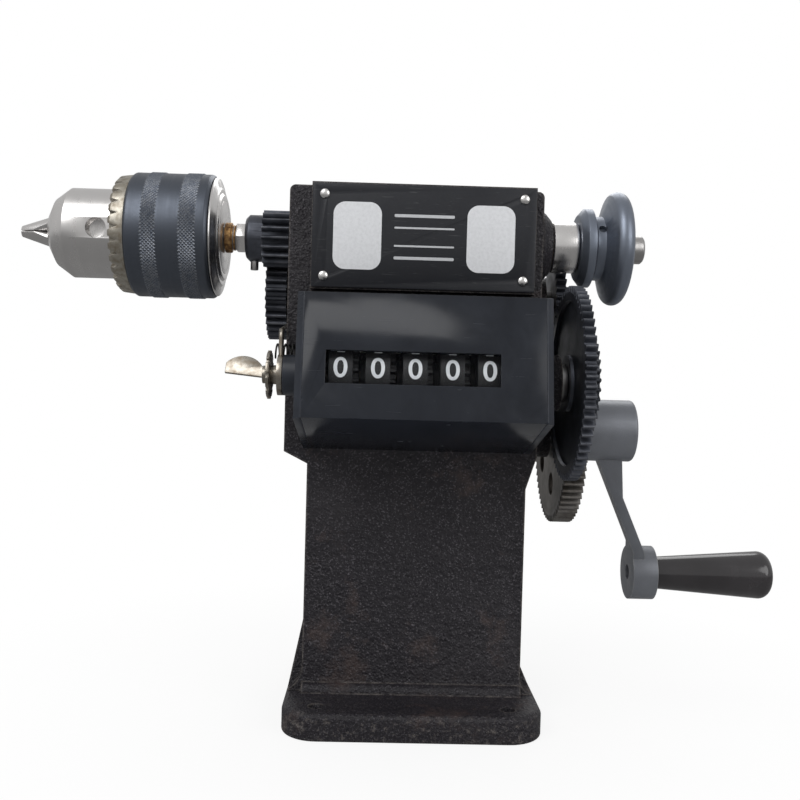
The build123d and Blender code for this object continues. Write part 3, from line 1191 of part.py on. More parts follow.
with BuildPart() as feeler_lever:
    ring(WHEELS, LEVER_EYE_X, LEVER_EYE_X + LEVER_EYE_WIDTH, COLLAR_R, RESET_HUB_R + RUNNING)
    with BuildLine() as wire_path:
        FilletPolyline(
            (LEVER_X, WHEELS[0], WHEELS[1] + COLLAR_R - 1.5),
            (LEVER_X, WHEELS[0], WHEELS[1] + LEVER_RISE),
            (LEVER_SIDE_X, WHEELS[0] + LEVER_STEP_Y, WHEELS[1] + LEVER_RISE + 1.0),
            (LEVER_SIDE_X, LEVER_TIP_Y, LEVER_TIP_Z),
            radius=2.5,
        )
    with BuildSketch(Plane(origin=wire_path.line @ 0, z_dir=wire_path.line % 0)) as wire_section:
        Circle(LEVER_WIRE_R)
    sweep(wire_section.sketch, path=wire_path.line)
finish_piece(feeler_lever, "feeler_lever")
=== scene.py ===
"""Looks of a hand-cranked wire coil winding machine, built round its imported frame."""

import json
import math

import bmesh
import bpy
from mathutils import Matrix, Vector


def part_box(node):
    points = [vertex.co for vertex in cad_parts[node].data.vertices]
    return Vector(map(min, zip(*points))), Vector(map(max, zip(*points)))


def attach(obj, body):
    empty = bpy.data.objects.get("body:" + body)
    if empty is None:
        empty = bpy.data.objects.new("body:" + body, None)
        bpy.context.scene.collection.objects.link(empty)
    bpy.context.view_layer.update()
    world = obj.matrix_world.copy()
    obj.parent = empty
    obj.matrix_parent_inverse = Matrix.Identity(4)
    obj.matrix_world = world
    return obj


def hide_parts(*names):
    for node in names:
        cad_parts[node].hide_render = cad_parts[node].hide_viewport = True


bl_info = {
    "name": "Coil winding machine finishes",
    "version": (1, 0, 0),
    "blender": (4, 5, 0),
    "location": "3D View > Sidebar > Coil Winder",
    "description": "Surface finishes and fine pieces of a hand-cranked coil winding machine",
    "category": "Object",
}

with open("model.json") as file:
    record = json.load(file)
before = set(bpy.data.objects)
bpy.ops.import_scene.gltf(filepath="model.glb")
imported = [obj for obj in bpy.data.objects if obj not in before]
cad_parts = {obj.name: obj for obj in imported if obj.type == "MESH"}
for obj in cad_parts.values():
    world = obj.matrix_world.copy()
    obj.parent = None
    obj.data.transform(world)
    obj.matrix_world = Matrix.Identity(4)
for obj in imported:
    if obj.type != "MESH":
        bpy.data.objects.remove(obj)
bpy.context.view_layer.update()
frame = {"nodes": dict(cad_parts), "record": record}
RECORD = frame["record"]
BODY_OF = {node: body for body, nodes in RECORD["behaviour"]["bodies"].items() for node in nodes}
MM = 0.001


def middle(node):
    """Middle of a CAD node's box."""
    low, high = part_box(node)
    return (low + high) / 2


SPINDLE = middle("spindle")
LAYSHAFT = middle("layshaft")
INTERMEDIATE = middle("intermediate_stud")
CRANK = middle("crank_shaft")
GRIP = middle("handle_grip")
WHEELS = middle("reset_shaft")
WHEEL_NODES = [f"number_wheel_{number}" for number in range(1, 6)]
WHEEL_RADIUS = (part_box("number_wheel_1")[1].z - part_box("number_wheel_1")[0].z) / 2
WHEEL_FACE_WIDTH = 7.4 * MM
BASE_TOP = 9 * MM
WHEEL_HUB = 1.7 * MM  # the hub that stands out of a wheel's left side
THREAD_RADIUS = 4.1 * MM
THREAD_PITCH = 0.9 * MM
KNURL_BANDS = (("front", 6.3 * MM, 11.1 * MM), ("back", 18.9 * MM, 24.5 * MM))  # from the sleeve's front
FACE_LEAN = math.radians(11.22)  # the counter's front face leans back by this
FLAT_BELOW = math.radians(0.4)  # faces that turn less than this are made one
EASED_ABOVE = math.radians(28)  # edges that turn more than this are eased
SMOOTH_BELOW = math.radians(32)  # edges that turn less than this are shaded smooth


# Sizes and colours a user would change
class WinderLook(bpy.types.PropertyGroup):
    """Colours and fine sizes of the machine."""

    casting_paint: bpy.props.FloatVectorProperty(
        name="Casting paint", description="Thin black paint on the rough casting",
        subtype="COLOR", default=(0.0125, 0.011, 0.0142), min=0, max=1,
    )
    bare_iron: bpy.props.FloatVectorProperty(
        name="Bare iron", description="Iron that shows where the paint has rubbed off",
        subtype="COLOR", default=(0.13, 0.115, 0.105), min=0, max=1,
    )
    bright_steel: bpy.props.FloatVectorProperty(
        name="Bright steel", description="Turned steel of the chuck, jaws and collar",
        subtype="COLOR", default=(0.66, 0.645, 0.635), min=0, max=1,
    )
    blued_steel: bpy.props.FloatVectorProperty(
        name="Blued steel", description="Dark steel of the chuck sleeve and the pulley",
        subtype="COLOR", default=(0.1, 0.112, 0.136), min=0, max=1,
    )
    gear_black: bpy.props.FloatVectorProperty(
        name="Black gears", description="Black oxide on the gears",
        subtype="COLOR", default=(0.05, 0.054, 0.066), min=0, max=1,
    )
    gear_brown: bpy.props.FloatVectorProperty(
        name="Crank gear", description="Oiled steel of the gear on the crank shaft",
        subtype="COLOR", default=(0.1, 0.09, 0.08), min=0, max=1,
    )
    counter_shell: bpy.props.FloatVectorProperty(
        name="Counter shell", description="Glossy plastic of the turns counter",
        subtype="COLOR", default=(0.009, 0.0107, 0.015), min=0, max=1,
    )
    grip_shell: bpy.props.FloatVectorProperty(
        name="Handle grip", description="Glossy moulding of the crank's grip",
        subtype="COLOR", default=(0.016, 0.014, 0.0155), min=0, max=1,
    )
    arm_metal: bpy.props.FloatVectorProperty(
        name="Crank arm", description="Cast and tumbled metal of the crank arm",
        subtype="COLOR", default=(0.148, 0.156, 0.174), min=0, max=1,
    )
    knurl_pitch: bpy.props.FloatProperty(
        name="Knurl pitch", description="Distance between the points of the knurl", subtype="DISTANCE",
        unit="LENGTH", default=1.2 * MM, min=0.4 * MM, max=3 * MM,
    )
    numeral_height: bpy.props.FloatProperty(
        name="Numeral height", description="Height of the numerals on the wheels", subtype="DISTANCE",
        unit="LENGTH", default=6.4 * MM, min=2 * MM, max=8 * MM,
    )
    numeral_width: bpy.props.FloatProperty(
        name="Numeral width", description="Width of the numerals on the wheels", subtype="DISTANCE",
        unit="LENGTH", default=4.2 * MM, min=1 * MM, max=6 * MM,
    )
    lamp_power: bpy.props.FloatProperty(
        name="Lamp power", description="Power of the large soft lamp", subtype="POWER", unit="POWER",
        default=6.5, min=0, max=100,
    )


def look():
    """The machine's colours and fine sizes."""
    return bpy.context.scene.winder_look


def toned(colour, factor, lift=0.0):
    """Colour with each channel times a factor, plus a lift."""
    return tuple(factor * channel + lift for channel in colour)


# Shader building
def put(tree, kind, inputs=None, **settings):
    """Adds a node. Inputs are named or numbered, and each holds a value or another node's output."""
    node = tree.nodes.new(kind)
    for key, value in settings.items():
        setattr(node, key, value)
    for key, value in (inputs or {}).items():
        feed(tree, node.inputs[key], value)
    return node


def feed(tree, socket, value):
    """Links an output to a socket, or sets the socket's own value."""
    if isinstance(value, bpy.types.NodeSocket):
        tree.links.new(value, socket)
    elif socket.type == "RGBA" and len(value) == 3:
        socket.default_value = (*value, 1.0)
    else:
        socket.default_value = value


def maths(tree, operation, *values):
    """Output of a Math node."""
    return put(tree, "ShaderNodeMath", dict(enumerate(values)), operation=operation).outputs[0]


def product(tree, first, *others):
    """Output of one Multiply node after another."""
    for other in others:
        first = maths(tree, "MULTIPLY", first, other)
    return first


def remap(tree, value, low, high, to_low=0.0, to_high=1.0):
    """Output of a clamped Map Range node."""
    inputs = {"Value": value, "From Min": low, "From Max": high, "To Min": to_low, "To Max": to_high}
    return put(tree, "ShaderNodeMapRange", inputs).outputs["Result"]


def mixed(tree, factor, first, second):
    """Colour between two, by a factor."""
    return put(tree, "ShaderNodeMix", {0: factor, 6: first, 7: second}, data_type="RGBA").outputs[2]


def noise(tree, vector, scale, detail=2.0, roughness=0.5, distortion=0.0):
    """Noise value at a vector."""
    inputs = {"Vector": vector, "Scale": scale, "Detail": detail, "Roughness": roughness}
    inputs["Distortion"] = distortion
    return put(tree, "ShaderNodeTexNoise", inputs).outputs["Fac"]


def place(tree):
    """Position in the machine's own frame."""
    return put(tree, "ShaderNodeTexCoord").outputs["Object"]


def scaled_place(tree, factor):
    """Position times a factor."""
    inputs = {0: place(tree), "Scale": factor}
    return put(tree, "ShaderNodeVectorMath", inputs, operation="SCALE").outputs["Vector"]


def bump(tree, height, distance, strength):
    """Normal tilted by a height."""
    inputs = {"Height": height, "Distance": distance, "Strength": strength}
    return put(tree, "ShaderNodeBump", inputs).outputs["Normal"]


def effect(name, inputs, outputs):
    """Shader node group with named float inputs and outputs. Gives the tree, its inputs and its end node."""
    tree = bpy.data.node_groups.new(name, "ShaderNodeTree")
    for label, default in inputs.items():
        socket = tree.interface.new_socket(name=label, in_out="INPUT", socket_type="NodeSocketFloat")
        socket.default_value = default
    for label in outputs:
        tree.interface.new_socket(name=label, in_out="OUTPUT", socket_type="NodeSocketFloat")
    return tree, tree.nodes.new("NodeGroupInput").outputs, tree.nodes.new("NodeGroupOutput")


def give(tree, result, **values):
    """Links a group's outputs."""
    for key, value in values.items():
        tree.links.new(value, result.inputs[key])


def use(tree, name, **values):
    """Places an effect in a material. Underscores in value names stand for spaces."""
    node = tree.nodes.new("ShaderNodeGroup")
    node.node_tree = bpy.data.node_groups[name]
    for key, value in values.items():
        feed(tree, node.inputs[key.replace("_", " ")], value)
    return node.outputs


def build_edge_wear():
    """Rubbed edges: where the surface turns sharply, broken up by noise."""
    tree, given, result = effect("Edge wear", {"Width": 0.4 * MM, "Break Up": 900.0, "Reach": 1.0}, ["Mask"])
    soft = put(tree, "ShaderNodeBevel", {"Radius": given["Width"]}, samples=6)
    plain = put(tree, "ShaderNodeNewGeometry")
    inputs = {0: soft.outputs["Normal"], 1: plain.outputs["Normal"]}
    facing = put(tree, "ShaderNodeVectorMath", inputs, operation="DOT_PRODUCT").outputs["Value"]
    turned = remap(tree, facing, 0.995, 0.86)
    breaks = noise(tree, place(tree), given["Break Up"], 4.0, 0.65)
    kept = remap(tree, breaks, 0.36, 0.6)
    give(tree, result, Mask=product(tree, turned, kept, given["Reach"]))


def about_axis(tree, given):
    """Place along X, and distance from the axis along X through the group's centre."""
    parts = put(tree, "ShaderNodeSeparateXYZ", {"Vector": place(tree)}).outputs
    across = maths(tree, "SUBTRACT", parts["Y"], given["Centre Y"])
    up = maths(tree, "SUBTRACT", parts["Z"], given["Centre Z"])
    squares = maths(tree, "ADD", maths(tree, "POWER", across, 2.0), maths(tree, "POWER", up, 2.0))
    return parts["X"], maths(tree, "SQRT", squares)


def build_turning_marks():
    """Fine rings left by the lathe round an axis along X."""
    tree, given, result = effect(
        "Turning marks", {"Centre Y": 0.0, "Centre Z": 0.0, "Spacing": 0.25 * MM}, ["Height", "Tone"]
    )
    x, radius = about_axis(tree, given)
    along = maths(tree, "DIVIDE", x, given["Spacing"])
    out = maths(tree, "DIVIDE", radius, given["Spacing"])
    rings = put(tree, "ShaderNodeCombineXYZ", {"X": along, "Y": out}).outputs["Vector"]
    height = noise(tree, rings, 1.0, 3.0, 0.6)
    slow = noise(tree, rings, 0.16, 2.0, 0.5)
    smear = noise(tree, place(tree), 160.0, 3.0, 0.6)
    tone = maths(tree, "MULTIPLY_ADD", smear, 0.5, product(tree, slow, 0.5))
    give(tree, result, Height=height, Tone=tone)


def build_radius_mask():
    """1 beyond a radius round an axis along X, 0 inside it."""
    tree, given, result = effect(
        "Beyond radius", {"Centre Y": 0.0, "Centre Z": 0.0, "Radius": 10 * MM, "Blur": 0.4 * MM}, ["Mask"]
    )
    over = maths(tree, "SUBTRACT", about_axis(tree, given)[1], given["Radius"])
    give(tree, result, Mask=remap(tree, over, 0.0, given["Blur"]))


def build_cast_skin():
    """Sand-cast skin: a coarse roll, close pits and fine grit."""
    tree, given, result = effect("Cast skin", {"Grain": 1.0}, ["Height", "Speckle", "Patches"])
    scaled = scaled_place(tree, given["Grain"])
    roll = noise(tree, scaled, 95.0, 3.0, 0.55)
    lumps = noise(tree, scaled, 620.0, 3.0, 0.6)
    grit = noise(tree, scaled, 2100.0, 2.0, 0.6)
    pits = put(tree, "ShaderNodeTexVoronoi", {"Vector": scaled, "Scale": 900.0})
    pitted = remap(tree, pits.outputs["Distance"], 0.0, 0.45)
    height = maths(tree, "MULTIPLY_ADD", lumps, 0.55, product(tree, roll, 0.5))
    height = maths(tree, "MULTIPLY_ADD", grit, 0.22, height)
    height = maths(tree, "MULTIPLY_ADD", pitted, 0.16, height)
    speckle = remap(tree, grit, 0.56, 0.74)
    patches = remap(tree, noise(tree, place(tree), 26.0, 4.0, 0.6), 0.45, 0.72)
    give(tree, result, Height=height, Speckle=speckle, Patches=patches)


def build_handling():
    """Faint smears and hairline scratches on a glossy surface."""
    tree, given, result = effect("Handling marks", {"Size": 1.0}, ["Smear", "Hairlines"])
    scaled = scaled_place(tree, given["Size"])
    smear = noise(tree, scaled, 48.0, 4.0, 0.62, 0.8)
    stretched = put(tree, "ShaderNodeMapping", {"Vector": scaled, "Scale": (60.0, 420.0, 900.0)}).outputs[0]
    hair = noise(tree, stretched, 1.0, 2.0, 0.7, 0.3)
    give(tree, result, Smear=remap(tree, smear, 0.35, 0.7), Hairlines=remap(tree, hair, 0.64, 0.7))


def new_material(name):
    """Empty material with its surface shader."""
    made = bpy.data.materials.new(name)
    made.use_nodes = True
    tree = made.node_tree
    tree.nodes.clear()
    surface = put(tree, "ShaderNodeBsdfPrincipled")
    put(tree, "ShaderNodeOutputMaterial", {"Surface": surface.outputs["BSDF"]})
    return made, tree, surface


def set_surface(surface, colour, roughness, normal=None, **others):
    """Feeds the surface shader. Underscores in the names of other inputs stand for spaces."""
    inputs = {"Base_Color": colour, "Roughness": roughness, **others}
    if normal:
        inputs["Normal"] = normal
    for key, value in inputs.items():
        feed(surface.id_data, surface.inputs[key.replace("_", " ")], value)


def rubbed_edges(tree, width, break_up, reach):
    """Mask of edges of a width that are rubbed, broken up at a scale, with a strength."""
    return use(tree, "Edge wear", Width=width, Break_Up=break_up, Reach=reach)["Mask"]


def cast_iron_paint():
    """Thin black paint on a rough casting, with grey grit, rusty patches and rubbed edges."""
    made, tree, surface = new_material("Cast iron under black paint")
    skin = use(tree, "Cast skin", Grain=0.8)
    worn = rubbed_edges(tree, 1.2 * MM, 300.0, 1.0)
    rust = remap(tree, noise(tree, place(tree), 60.0, 5.0, 0.7), 0.56, 0.72)
    paint, iron = look().casting_paint, look().bare_iron
    paint = mixed(tree, product(tree, skin["Speckle"], 0.7), paint, (0.12, 0.112, 0.125))
    paint = mixed(tree, product(tree, skin["Patches"], 0.35), paint, (0.036, 0.032, 0.035))
    paint = mixed(tree, product(tree, rust, 0.65), paint, (0.062, 0.042, 0.037))
    height = put(tree, "ShaderNodeSeparateXYZ", {"Vector": place(tree)}).outputs["Z"]
    low_down = remap(tree, height, BASE_TOP + 1 * MM, BASE_TOP - 3 * MM)
    scuffs = remap(tree, noise(tree, place(tree), 520.0, 4.0, 0.7), 0.54, 0.66)
    scuffed = product(tree, low_down, scuffs, 0.6)
    colour = mixed(tree, worn, mixed(tree, scuffed, paint, iron), iron)
    roughness = remap(tree, skin["Height"], 0.3, 0.85, 0.78, 0.42)
    set_surface(surface, colour, roughness, bump(tree, skin["Height"], 1.3 * MM, 1.0), Specular_IOR_Level=0.3)
    return made


def turned_steel(name, colour, centre, roughness, spacing, stain, wear, metallic=1.0):
    """Turned metal with rings round its axis, a little stained, and brighter on rubbed edges."""
    made, tree, surface = new_material(name)
    rings = use(tree, "Turning marks", Centre_Y=centre.y, Centre_Z=centre.z, Spacing=spacing * MM)
    base = mixed(tree, product(tree, rings["Tone"], stain * 2), colour, toned(colour, 0.62))
    if wear:
        worn = rubbed_edges(tree, 0.35 * MM, 700.0, wear)
        base = mixed(tree, worn, base, toned(colour, 0.5, 0.24))
    rough = remap(tree, rings["Tone"], 0.25, 0.75, roughness * 0.75, roughness * 1.5)
    set_surface(surface, base, rough, bump(tree, rings["Height"], 0.02 * MM, 0.35), Metallic=metallic)
    return made


def gear_metal(name, colour, centre, tip_radius, metallic=0.75, rubbed=0.5):
    """Cut gear: dark oxide, oil stains, and flanks rubbed bright towards the tips."""
    made, tree, surface = new_material(name)
    rings = use(tree, "Turning marks", Centre_Y=centre.y, Centre_Z=centre.z, Spacing=0.45 * MM)
    rim = tip_radius - 0.5 * MM
    tips = use(tree, "Beyond radius", Centre_Y=centre.y, Centre_Z=centre.z, Radius=rim, Blur=0.6 * MM)["Mask"]
    edges = rubbed_edges(tree, 0.3 * MM, 1100.0, 1.0)
    patches = remap(tree, noise(tree, place(tree), 120.0, 4.0, 0.6), 0.4, 0.7)
    base = mixed(tree, patches, colour, toned(colour, 1.7, 0.006))
    bright = toned(colour, 0.7, 0.17)
    base = mixed(tree, product(tree, tips, patches, rubbed), base, bright)
    base = mixed(tree, product(tree, edges, rubbed), base, bright)
    rough = remap(tree, rings["Tone"], 0.25, 0.8, 0.34, 0.56)
    set_surface(surface, base, rough, bump(tree, rings["Height"], 0.03 * MM, 0.5), Metallic=metallic)
    return made


def moulded_gloss(name, colour, roughness, wear, gloss=0.28):
    """Glossy moulded plastic with smears, hairlines and paler rubbed edges."""
    made, tree, surface = new_material(name)
    marks = use(tree, "Handling marks", Size=1.0)
    edges = rubbed_edges(tree, 0.5 * MM, 500.0, wear)
    base = mixed(tree, marks["Smear"], colour, toned(colour, 1.5, 0.002))
    base = mixed(tree, edges, base, (0.07, 0.073, 0.08))
    rough = remap(tree, marks["Smear"], 0.0, 1.0, roughness, roughness * 1.9)
    rough = maths(tree, "ADD", rough, product(tree, marks["Hairlines"], 0.06))
    ripple = noise(tree, place(tree), 130.0, 2.0, 0.5)
    set_surface(surface, base, rough, bump(tree, ripple, 0.06 * MM, 0.35), Specular_IOR_Level=gloss)
    return made


def tumbled_arm():
    """Cast metal tumbled smooth, with pale specks and rubbed edges."""
    made, tree, surface = new_material("Tumbled crank metal")
    skin = use(tree, "Cast skin", Grain=1.6)
    edges = rubbed_edges(tree, 0.8 * MM, 650.0, 0.8)
    metal = look().arm_metal
    base = mixed(tree, skin["Patches"], metal, toned(metal, 1.35))
    base = mixed(tree, product(tree, skin["Speckle"], 0.4), base, (0.24, 0.24, 0.235))
    base = mixed(tree, edges, base, (0.33, 0.33, 0.32))
    rough = remap(tree, skin["Height"], 0.3, 0.9, 0.58, 0.36)
    set_surface(surface, base, rough, bump(tree, skin["Height"], 0.16 * MM, 0.5), Metallic=0.45)
    return made


def nickel_plate():
    """Nickel with brown tarnish, bright on its edges."""
    made, tree, surface = new_material("Tarnished nickel")
    stain = noise(tree, place(tree), 260.0, 4.0, 0.65)
    base = mixed(tree, remap(tree, stain, 0.42, 0.72), (0.36, 0.335, 0.295), (0.19, 0.145, 0.1))
    edges = rubbed_edges(tree, 0.25 * MM, 900.0, 0.7)
    base = mixed(tree, edges, base, (0.52, 0.5, 0.46))
    rough = remap(tree, stain, 0.3, 0.8, 0.2, 0.5)
    set_surface(surface, base, rough, bump(tree, stain, 0.05 * MM, 0.4), Metallic=1.0)
    return made


def ring_nickel():
    """Paler, duller nickel of the chuck's toothed ring."""
    made, tree, surface = new_material("Pale nickel ring")
    stain = noise(tree, place(tree), 420.0, 4.0, 0.6)
    base = mixed(tree, remap(tree, stain, 0.4, 0.75), (0.4, 0.375, 0.325), (0.2, 0.165, 0.12))
    edges = rubbed_edges(tree, 0.3 * MM, 900.0, 0.8)
    base = mixed(tree, edges, base, (0.62, 0.6, 0.55))
    rough = remap(tree, stain, 0.3, 0.8, 0.3, 0.55)
    set_surface(surface, base, rough, bump(tree, stain, 0.08 * MM, 0.5), Metallic=0.9)
    return made


def tarnished_brass(name, clean, stained):
    """Copper alloy with blotches of stain."""
    made, tree, surface = new_material(name)
    stain = noise(tree, place(tree), 520.0, 5.0, 0.7)
    base = mixed(tree, remap(tree, stain, 0.4, 0.62), clean, stained)
    rough = remap(tree, stain, 0.3, 0.7, 0.32, 0.75)
    set_surface(surface, base, rough, bump(tree, stain, 0.15 * MM, 0.6), Metallic=0.7)
    return made


def matte_moulding(name, colour):
    """Fine-grained moulding with little gloss."""
    made, tree, surface = new_material(name)
    grain = noise(tree, place(tree), 1500.0, 2.0, 0.6)
    tone = noise(tree, place(tree), 140.0, 3.0, 0.6)
    base = mixed(tree, remap(tree, tone, 0.35, 0.75), colour, toned(colour, 1.3, 0.001))
    rough = remap(tree, tone, 0.3, 0.8, 0.45, 0.63)
    set_surface(surface, base, rough, bump(tree, grain, 0.03 * MM, 0.5))
    return made


def printed_white():
    """Slightly uneven white paint of the numerals."""
    made, tree, surface = new_material("White numeral paint")
    tone = noise(tree, place(tree), 600.0, 3.0, 0.6)
    base = mixed(tree, remap(tree, tone, 0.35, 0.75), (0.82, 0.85, 0.88), (0.7, 0.74, 0.78))
    set_surface(surface, base, 0.42, bump(tree, tone, 0.02 * MM, 0.4))
    return made


def window_glass():
    """Clear pane: mostly see-through, with the gloss and faint smears of a moulded window."""
    made, tree, surface = new_material("Clear window")
    marks = use(tree, "Handling marks", Size=1.6)
    rough = remap(tree, marks["Smear"], 0.0, 1.0, 0.05, 0.16)
    cover = maths(tree, "MULTIPLY_ADD", marks["Smear"], 0.03, 0.05)
    set_surface(surface, (0.012, 0.013, 0.015), rough, Alpha=cover, IOR=1.46, Specular_IOR_Level=0.3)
    return made


def enamel(name, colour, roughness):
    """Printed sheet metal: flat ink with small scuffs."""
    made, tree, surface = new_material(name)
    marks = use(tree, "Handling marks", Size=2.2)
    mottle = noise(tree, place(tree), 900.0, 3.0, 0.6)
    base = mixed(tree, remap(tree, mottle, 0.4, 0.8), colour, toned(colour, 0.86))
    base = mixed(tree, product(tree, marks["Hairlines"], 0.06), base, (0.4, 0.4, 0.4))
    rough = remap(tree, marks["Smear"], 0.0, 1.0, roughness, roughness * 1.5)
    set_surface(surface, base, rough, bump(tree, mottle, 0.02 * MM, 0.4), Specular_IOR_Level=0.3)
    return made


FINISHES = {}


def build_finishes():
    """Makes every effect and material once."""
    for build in (build_edge_wear, build_turning_marks, build_radius_mask, build_cast_skin, build_handling):
        build()
    steel, blued = look().bright_steel, look().blued_steel
    black, brown = look().gear_black, look().gear_brown
    shell = look().counter_shell
    FINISHES.update(
        casting=cast_iron_paint(),
        chuck_steel=turned_steel("Turned chuck steel", toned(steel, 1.15), SPINDLE, 0.27, 0.3, 0.22, 0.5),
        flange_steel=turned_steel("Polished chuck back", toned(steel, 1.2), SPINDLE, 0.2, 0.35, 0.3, 0.4),
        spindle_steel=turned_steel("Spindle steel", toned(steel, 0.8), SPINDLE, 0.3, 0.2, 0.35, 0.3),
        collar_steel=turned_steel("Collar steel", toned(steel, 1.25), SPINDLE, 0.22, 0.28, 0.2, 0.3),
        layshaft_steel=turned_steel("Layshaft steel", toned(steel, 0.7), LAYSHAFT, 0.3, 0.2, 0.35, 0.3),
        stud_steel=turned_steel("Stud steel", toned(steel, 0.6), INTERMEDIATE, 0.3, 0.2, 0.35, 0.4),
        crank_steel=turned_steel("Crank shaft steel", toned(steel, 0.8), CRANK, 0.28, 0.2, 0.35, 0.3),
        bolt_steel=turned_steel("Handle bolt steel", toned(steel, 0.5), GRIP, 0.35, 0.2, 0.35, 0.3),
        sleeve_blue=turned_steel("Blued sleeve", blued, SPINDLE, 0.36, 0.26, 0.3, 0.55, 0.85),
        knurl=turned_steel("Worn knurl", toned(blued, 1.6), SPINDLE, 0.34, 0.26, 0.3, 0.9, 0.9),
        pulley_blue=turned_steel("Blued pulley", toned(blued, 2.2), SPINDLE, 0.34, 0.3, 0.4, 0.7, 0.8),
        screw_dark=turned_steel("Dark screws", toned(blued, 0.9), SPINDLE, 0.4, 0.2, 0.4, 0.8),
        spindle_gear=gear_metal("Spindle gear oxide", black, SPINDLE, 10 * MM, rubbed=0.55),
        layshaft_gear=gear_metal("Layshaft gear oxide", black, LAYSHAFT, 17 * MM, rubbed=0.4),
        layshaft_pinion=gear_metal("Layshaft pinion oxide", black, LAYSHAFT, 15.5 * MM, rubbed=0.5),
        intermediate_gear=gear_metal(
            "Large gear oxide", toned(black, 1.15), INTERMEDIATE, 33 * MM, rubbed=0.55
        ),
        intermediate_pinion=gear_metal("Hidden pinion oxide", black, INTERMEDIATE, 16.5 * MM, rubbed=0.5),
        crank_gear=gear_metal("Crank gear steel", brown, CRANK, 33 * MM, 0.8, 0.8),
        nickel=nickel_plate(),
        ring=ring_nickel(),
        bronze=tarnished_brass("Oiled bronze", (0.4, 0.28, 0.14), (0.12, 0.075, 0.035)),
        rusty=tarnished_brass("Rusty brass", (0.5, 0.3, 0.12), (0.13, 0.06, 0.025)),
        shell=moulded_gloss("Counter shell gloss", shell, 0.15, 0.5),
        cover=moulded_gloss("Counter cover gloss", toned(shell, 1.5), 0.24, 0.6),
        grip=moulded_gloss("Grip gloss", look().grip_shell, 0.09, 0.15, 0.8),
        arm=tumbled_arm(),
        wheel=matte_moulding("Number wheel moulding", (0.009, 0.0095, 0.0115)),
        pinion=matte_moulding("Pale pinion moulding", (0.42, 0.42, 0.38)),
        numeral=printed_white(),
        pane=window_glass(),
        plate_dark=enamel("Dark plate ink", (0.018, 0.019, 0.023), 0.28),
        plate_pale=enamel("Pale plate ink", (0.66, 0.67, 0.69), 0.32),
        plate_line=enamel("Plate ruling", (0.5, 0.51, 0.53), 0.35),
        spring=turned_steel("Spring wire", (0.05, 0.049, 0.047), WHEELS, 0.35, 0.2, 0.3, 0.0, 0.9),
    )


# Pieces made from the frame's own shapes
def add_object(name, data):
    """Object in the scene for a mesh, lamp, camera or text."""
    made = bpy.data.objects.new(name, data)
    bpy.context.scene.collection.objects.link(made)
    return made


def add_piece(mesh, name, body):
    """Object for a finished mesh, riding on a body of the frame."""
    piece = add_object(name, mesh)
    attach(piece, body)
    return piece


def evaluated_mesh(piece):
    """Plain mesh of an object with its modifiers applied."""
    graph = bpy.context.evaluated_depsgraph_get()
    return bpy.data.meshes.new_from_object(piece.evaluated_get(graph), depsgraph=graph)


def eased(node, finish, edge, segments=2):
    """Stands for a CAD node: the same shape with its edges eased by a small bevel, in a finish."""
    mesh = frame["nodes"][node].data.copy()
    work = bmesh.new()
    work.from_mesh(mesh)
    bmesh.ops.remove_doubles(work, verts=work.verts, dist=2e-6)
    bmesh.ops.dissolve_limit(work, angle_limit=FLAT_BELOW, verts=work.verts, edges=work.edges)
    for face in work.faces:
        face.smooth = True
    work.to_mesh(mesh)
    work.free()
    mesh.materials.clear()
    mesh.materials.append(FINISHES[finish])
    draft = add_object(f"{node}_draft", mesh)
    if edge:
        bevel = draft.modifiers.new("Eased edges", "BEVEL")
        bevel.width = edge * MM
        bevel.segments = segments
        bevel.limit_method = "ANGLE"
        bevel.angle_limit = EASED_ABOVE
        bevel.miter_outer = "MITER_ARC"
    final = evaluated_mesh(draft)
    final.name = f"{node}_finished"
    bpy.data.objects.remove(draft)
    final.set_sharp_from_angle(angle=SMOOTH_BELOW)
    piece = add_piece(final, f"{node}_finished", BODY_OF[node])
    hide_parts(node)
    return piece


def paint_node(node, finish):
    """Keeps a CAD node as it is and gives it a finish."""
    mesh = frame["nodes"][node].data
    mesh.materials.clear()
    mesh.materials.append(FINISHES[finish])


def finished_mesh(work, name):
    """Mesh of finished bmesh work, which is freed."""
    made = bpy.data.meshes.new(name)
    work.to_mesh(made)
    work.free()
    return made


def join_meshes(meshes, name):
    """One mesh from several."""
    work = bmesh.new()
    for mesh in meshes:
        work.from_mesh(mesh)
    return finished_mesh(work, name)


# Geometry node trees
SOCKET_OF = {float: "NodeSocketFloat", int: "NodeSocketInt", tuple: "NodeSocketVector"}


def geometry_tree(name, inputs):
    """Geometry node tree with named inputs, given by their defaults, plus its material."""
    tree = bpy.data.node_groups.new(name, "GeometryNodeTree")
    for label, default in inputs.items():
        socket = tree.interface.new_socket(name=label, in_out="INPUT", socket_type=SOCKET_OF[type(default)])
        socket.default_value = default
    tree.interface.new_socket(name="Finish", in_out="INPUT", socket_type="NodeSocketMaterial")
    tree.interface.new_socket(name="Geometry", in_out="OUTPUT", socket_type="NodeSocketGeometry")
    return tree, tree.nodes.new("NodeGroupInput").outputs, tree.nodes.new("NodeGroupOutput")


def close_tree(tree, given, result, geometry):
    """Ends a tree in plain geometry with its material."""
    real = put(tree, "GeometryNodeRealizeInstances", {"Geometry": geometry})
    dressed = put(tree, "GeometryNodeSetMaterial", {"Geometry": real.outputs[0], "Material": given["Finish"]})
    tree.links.new(dressed.outputs[0], result.inputs["Geometry"])


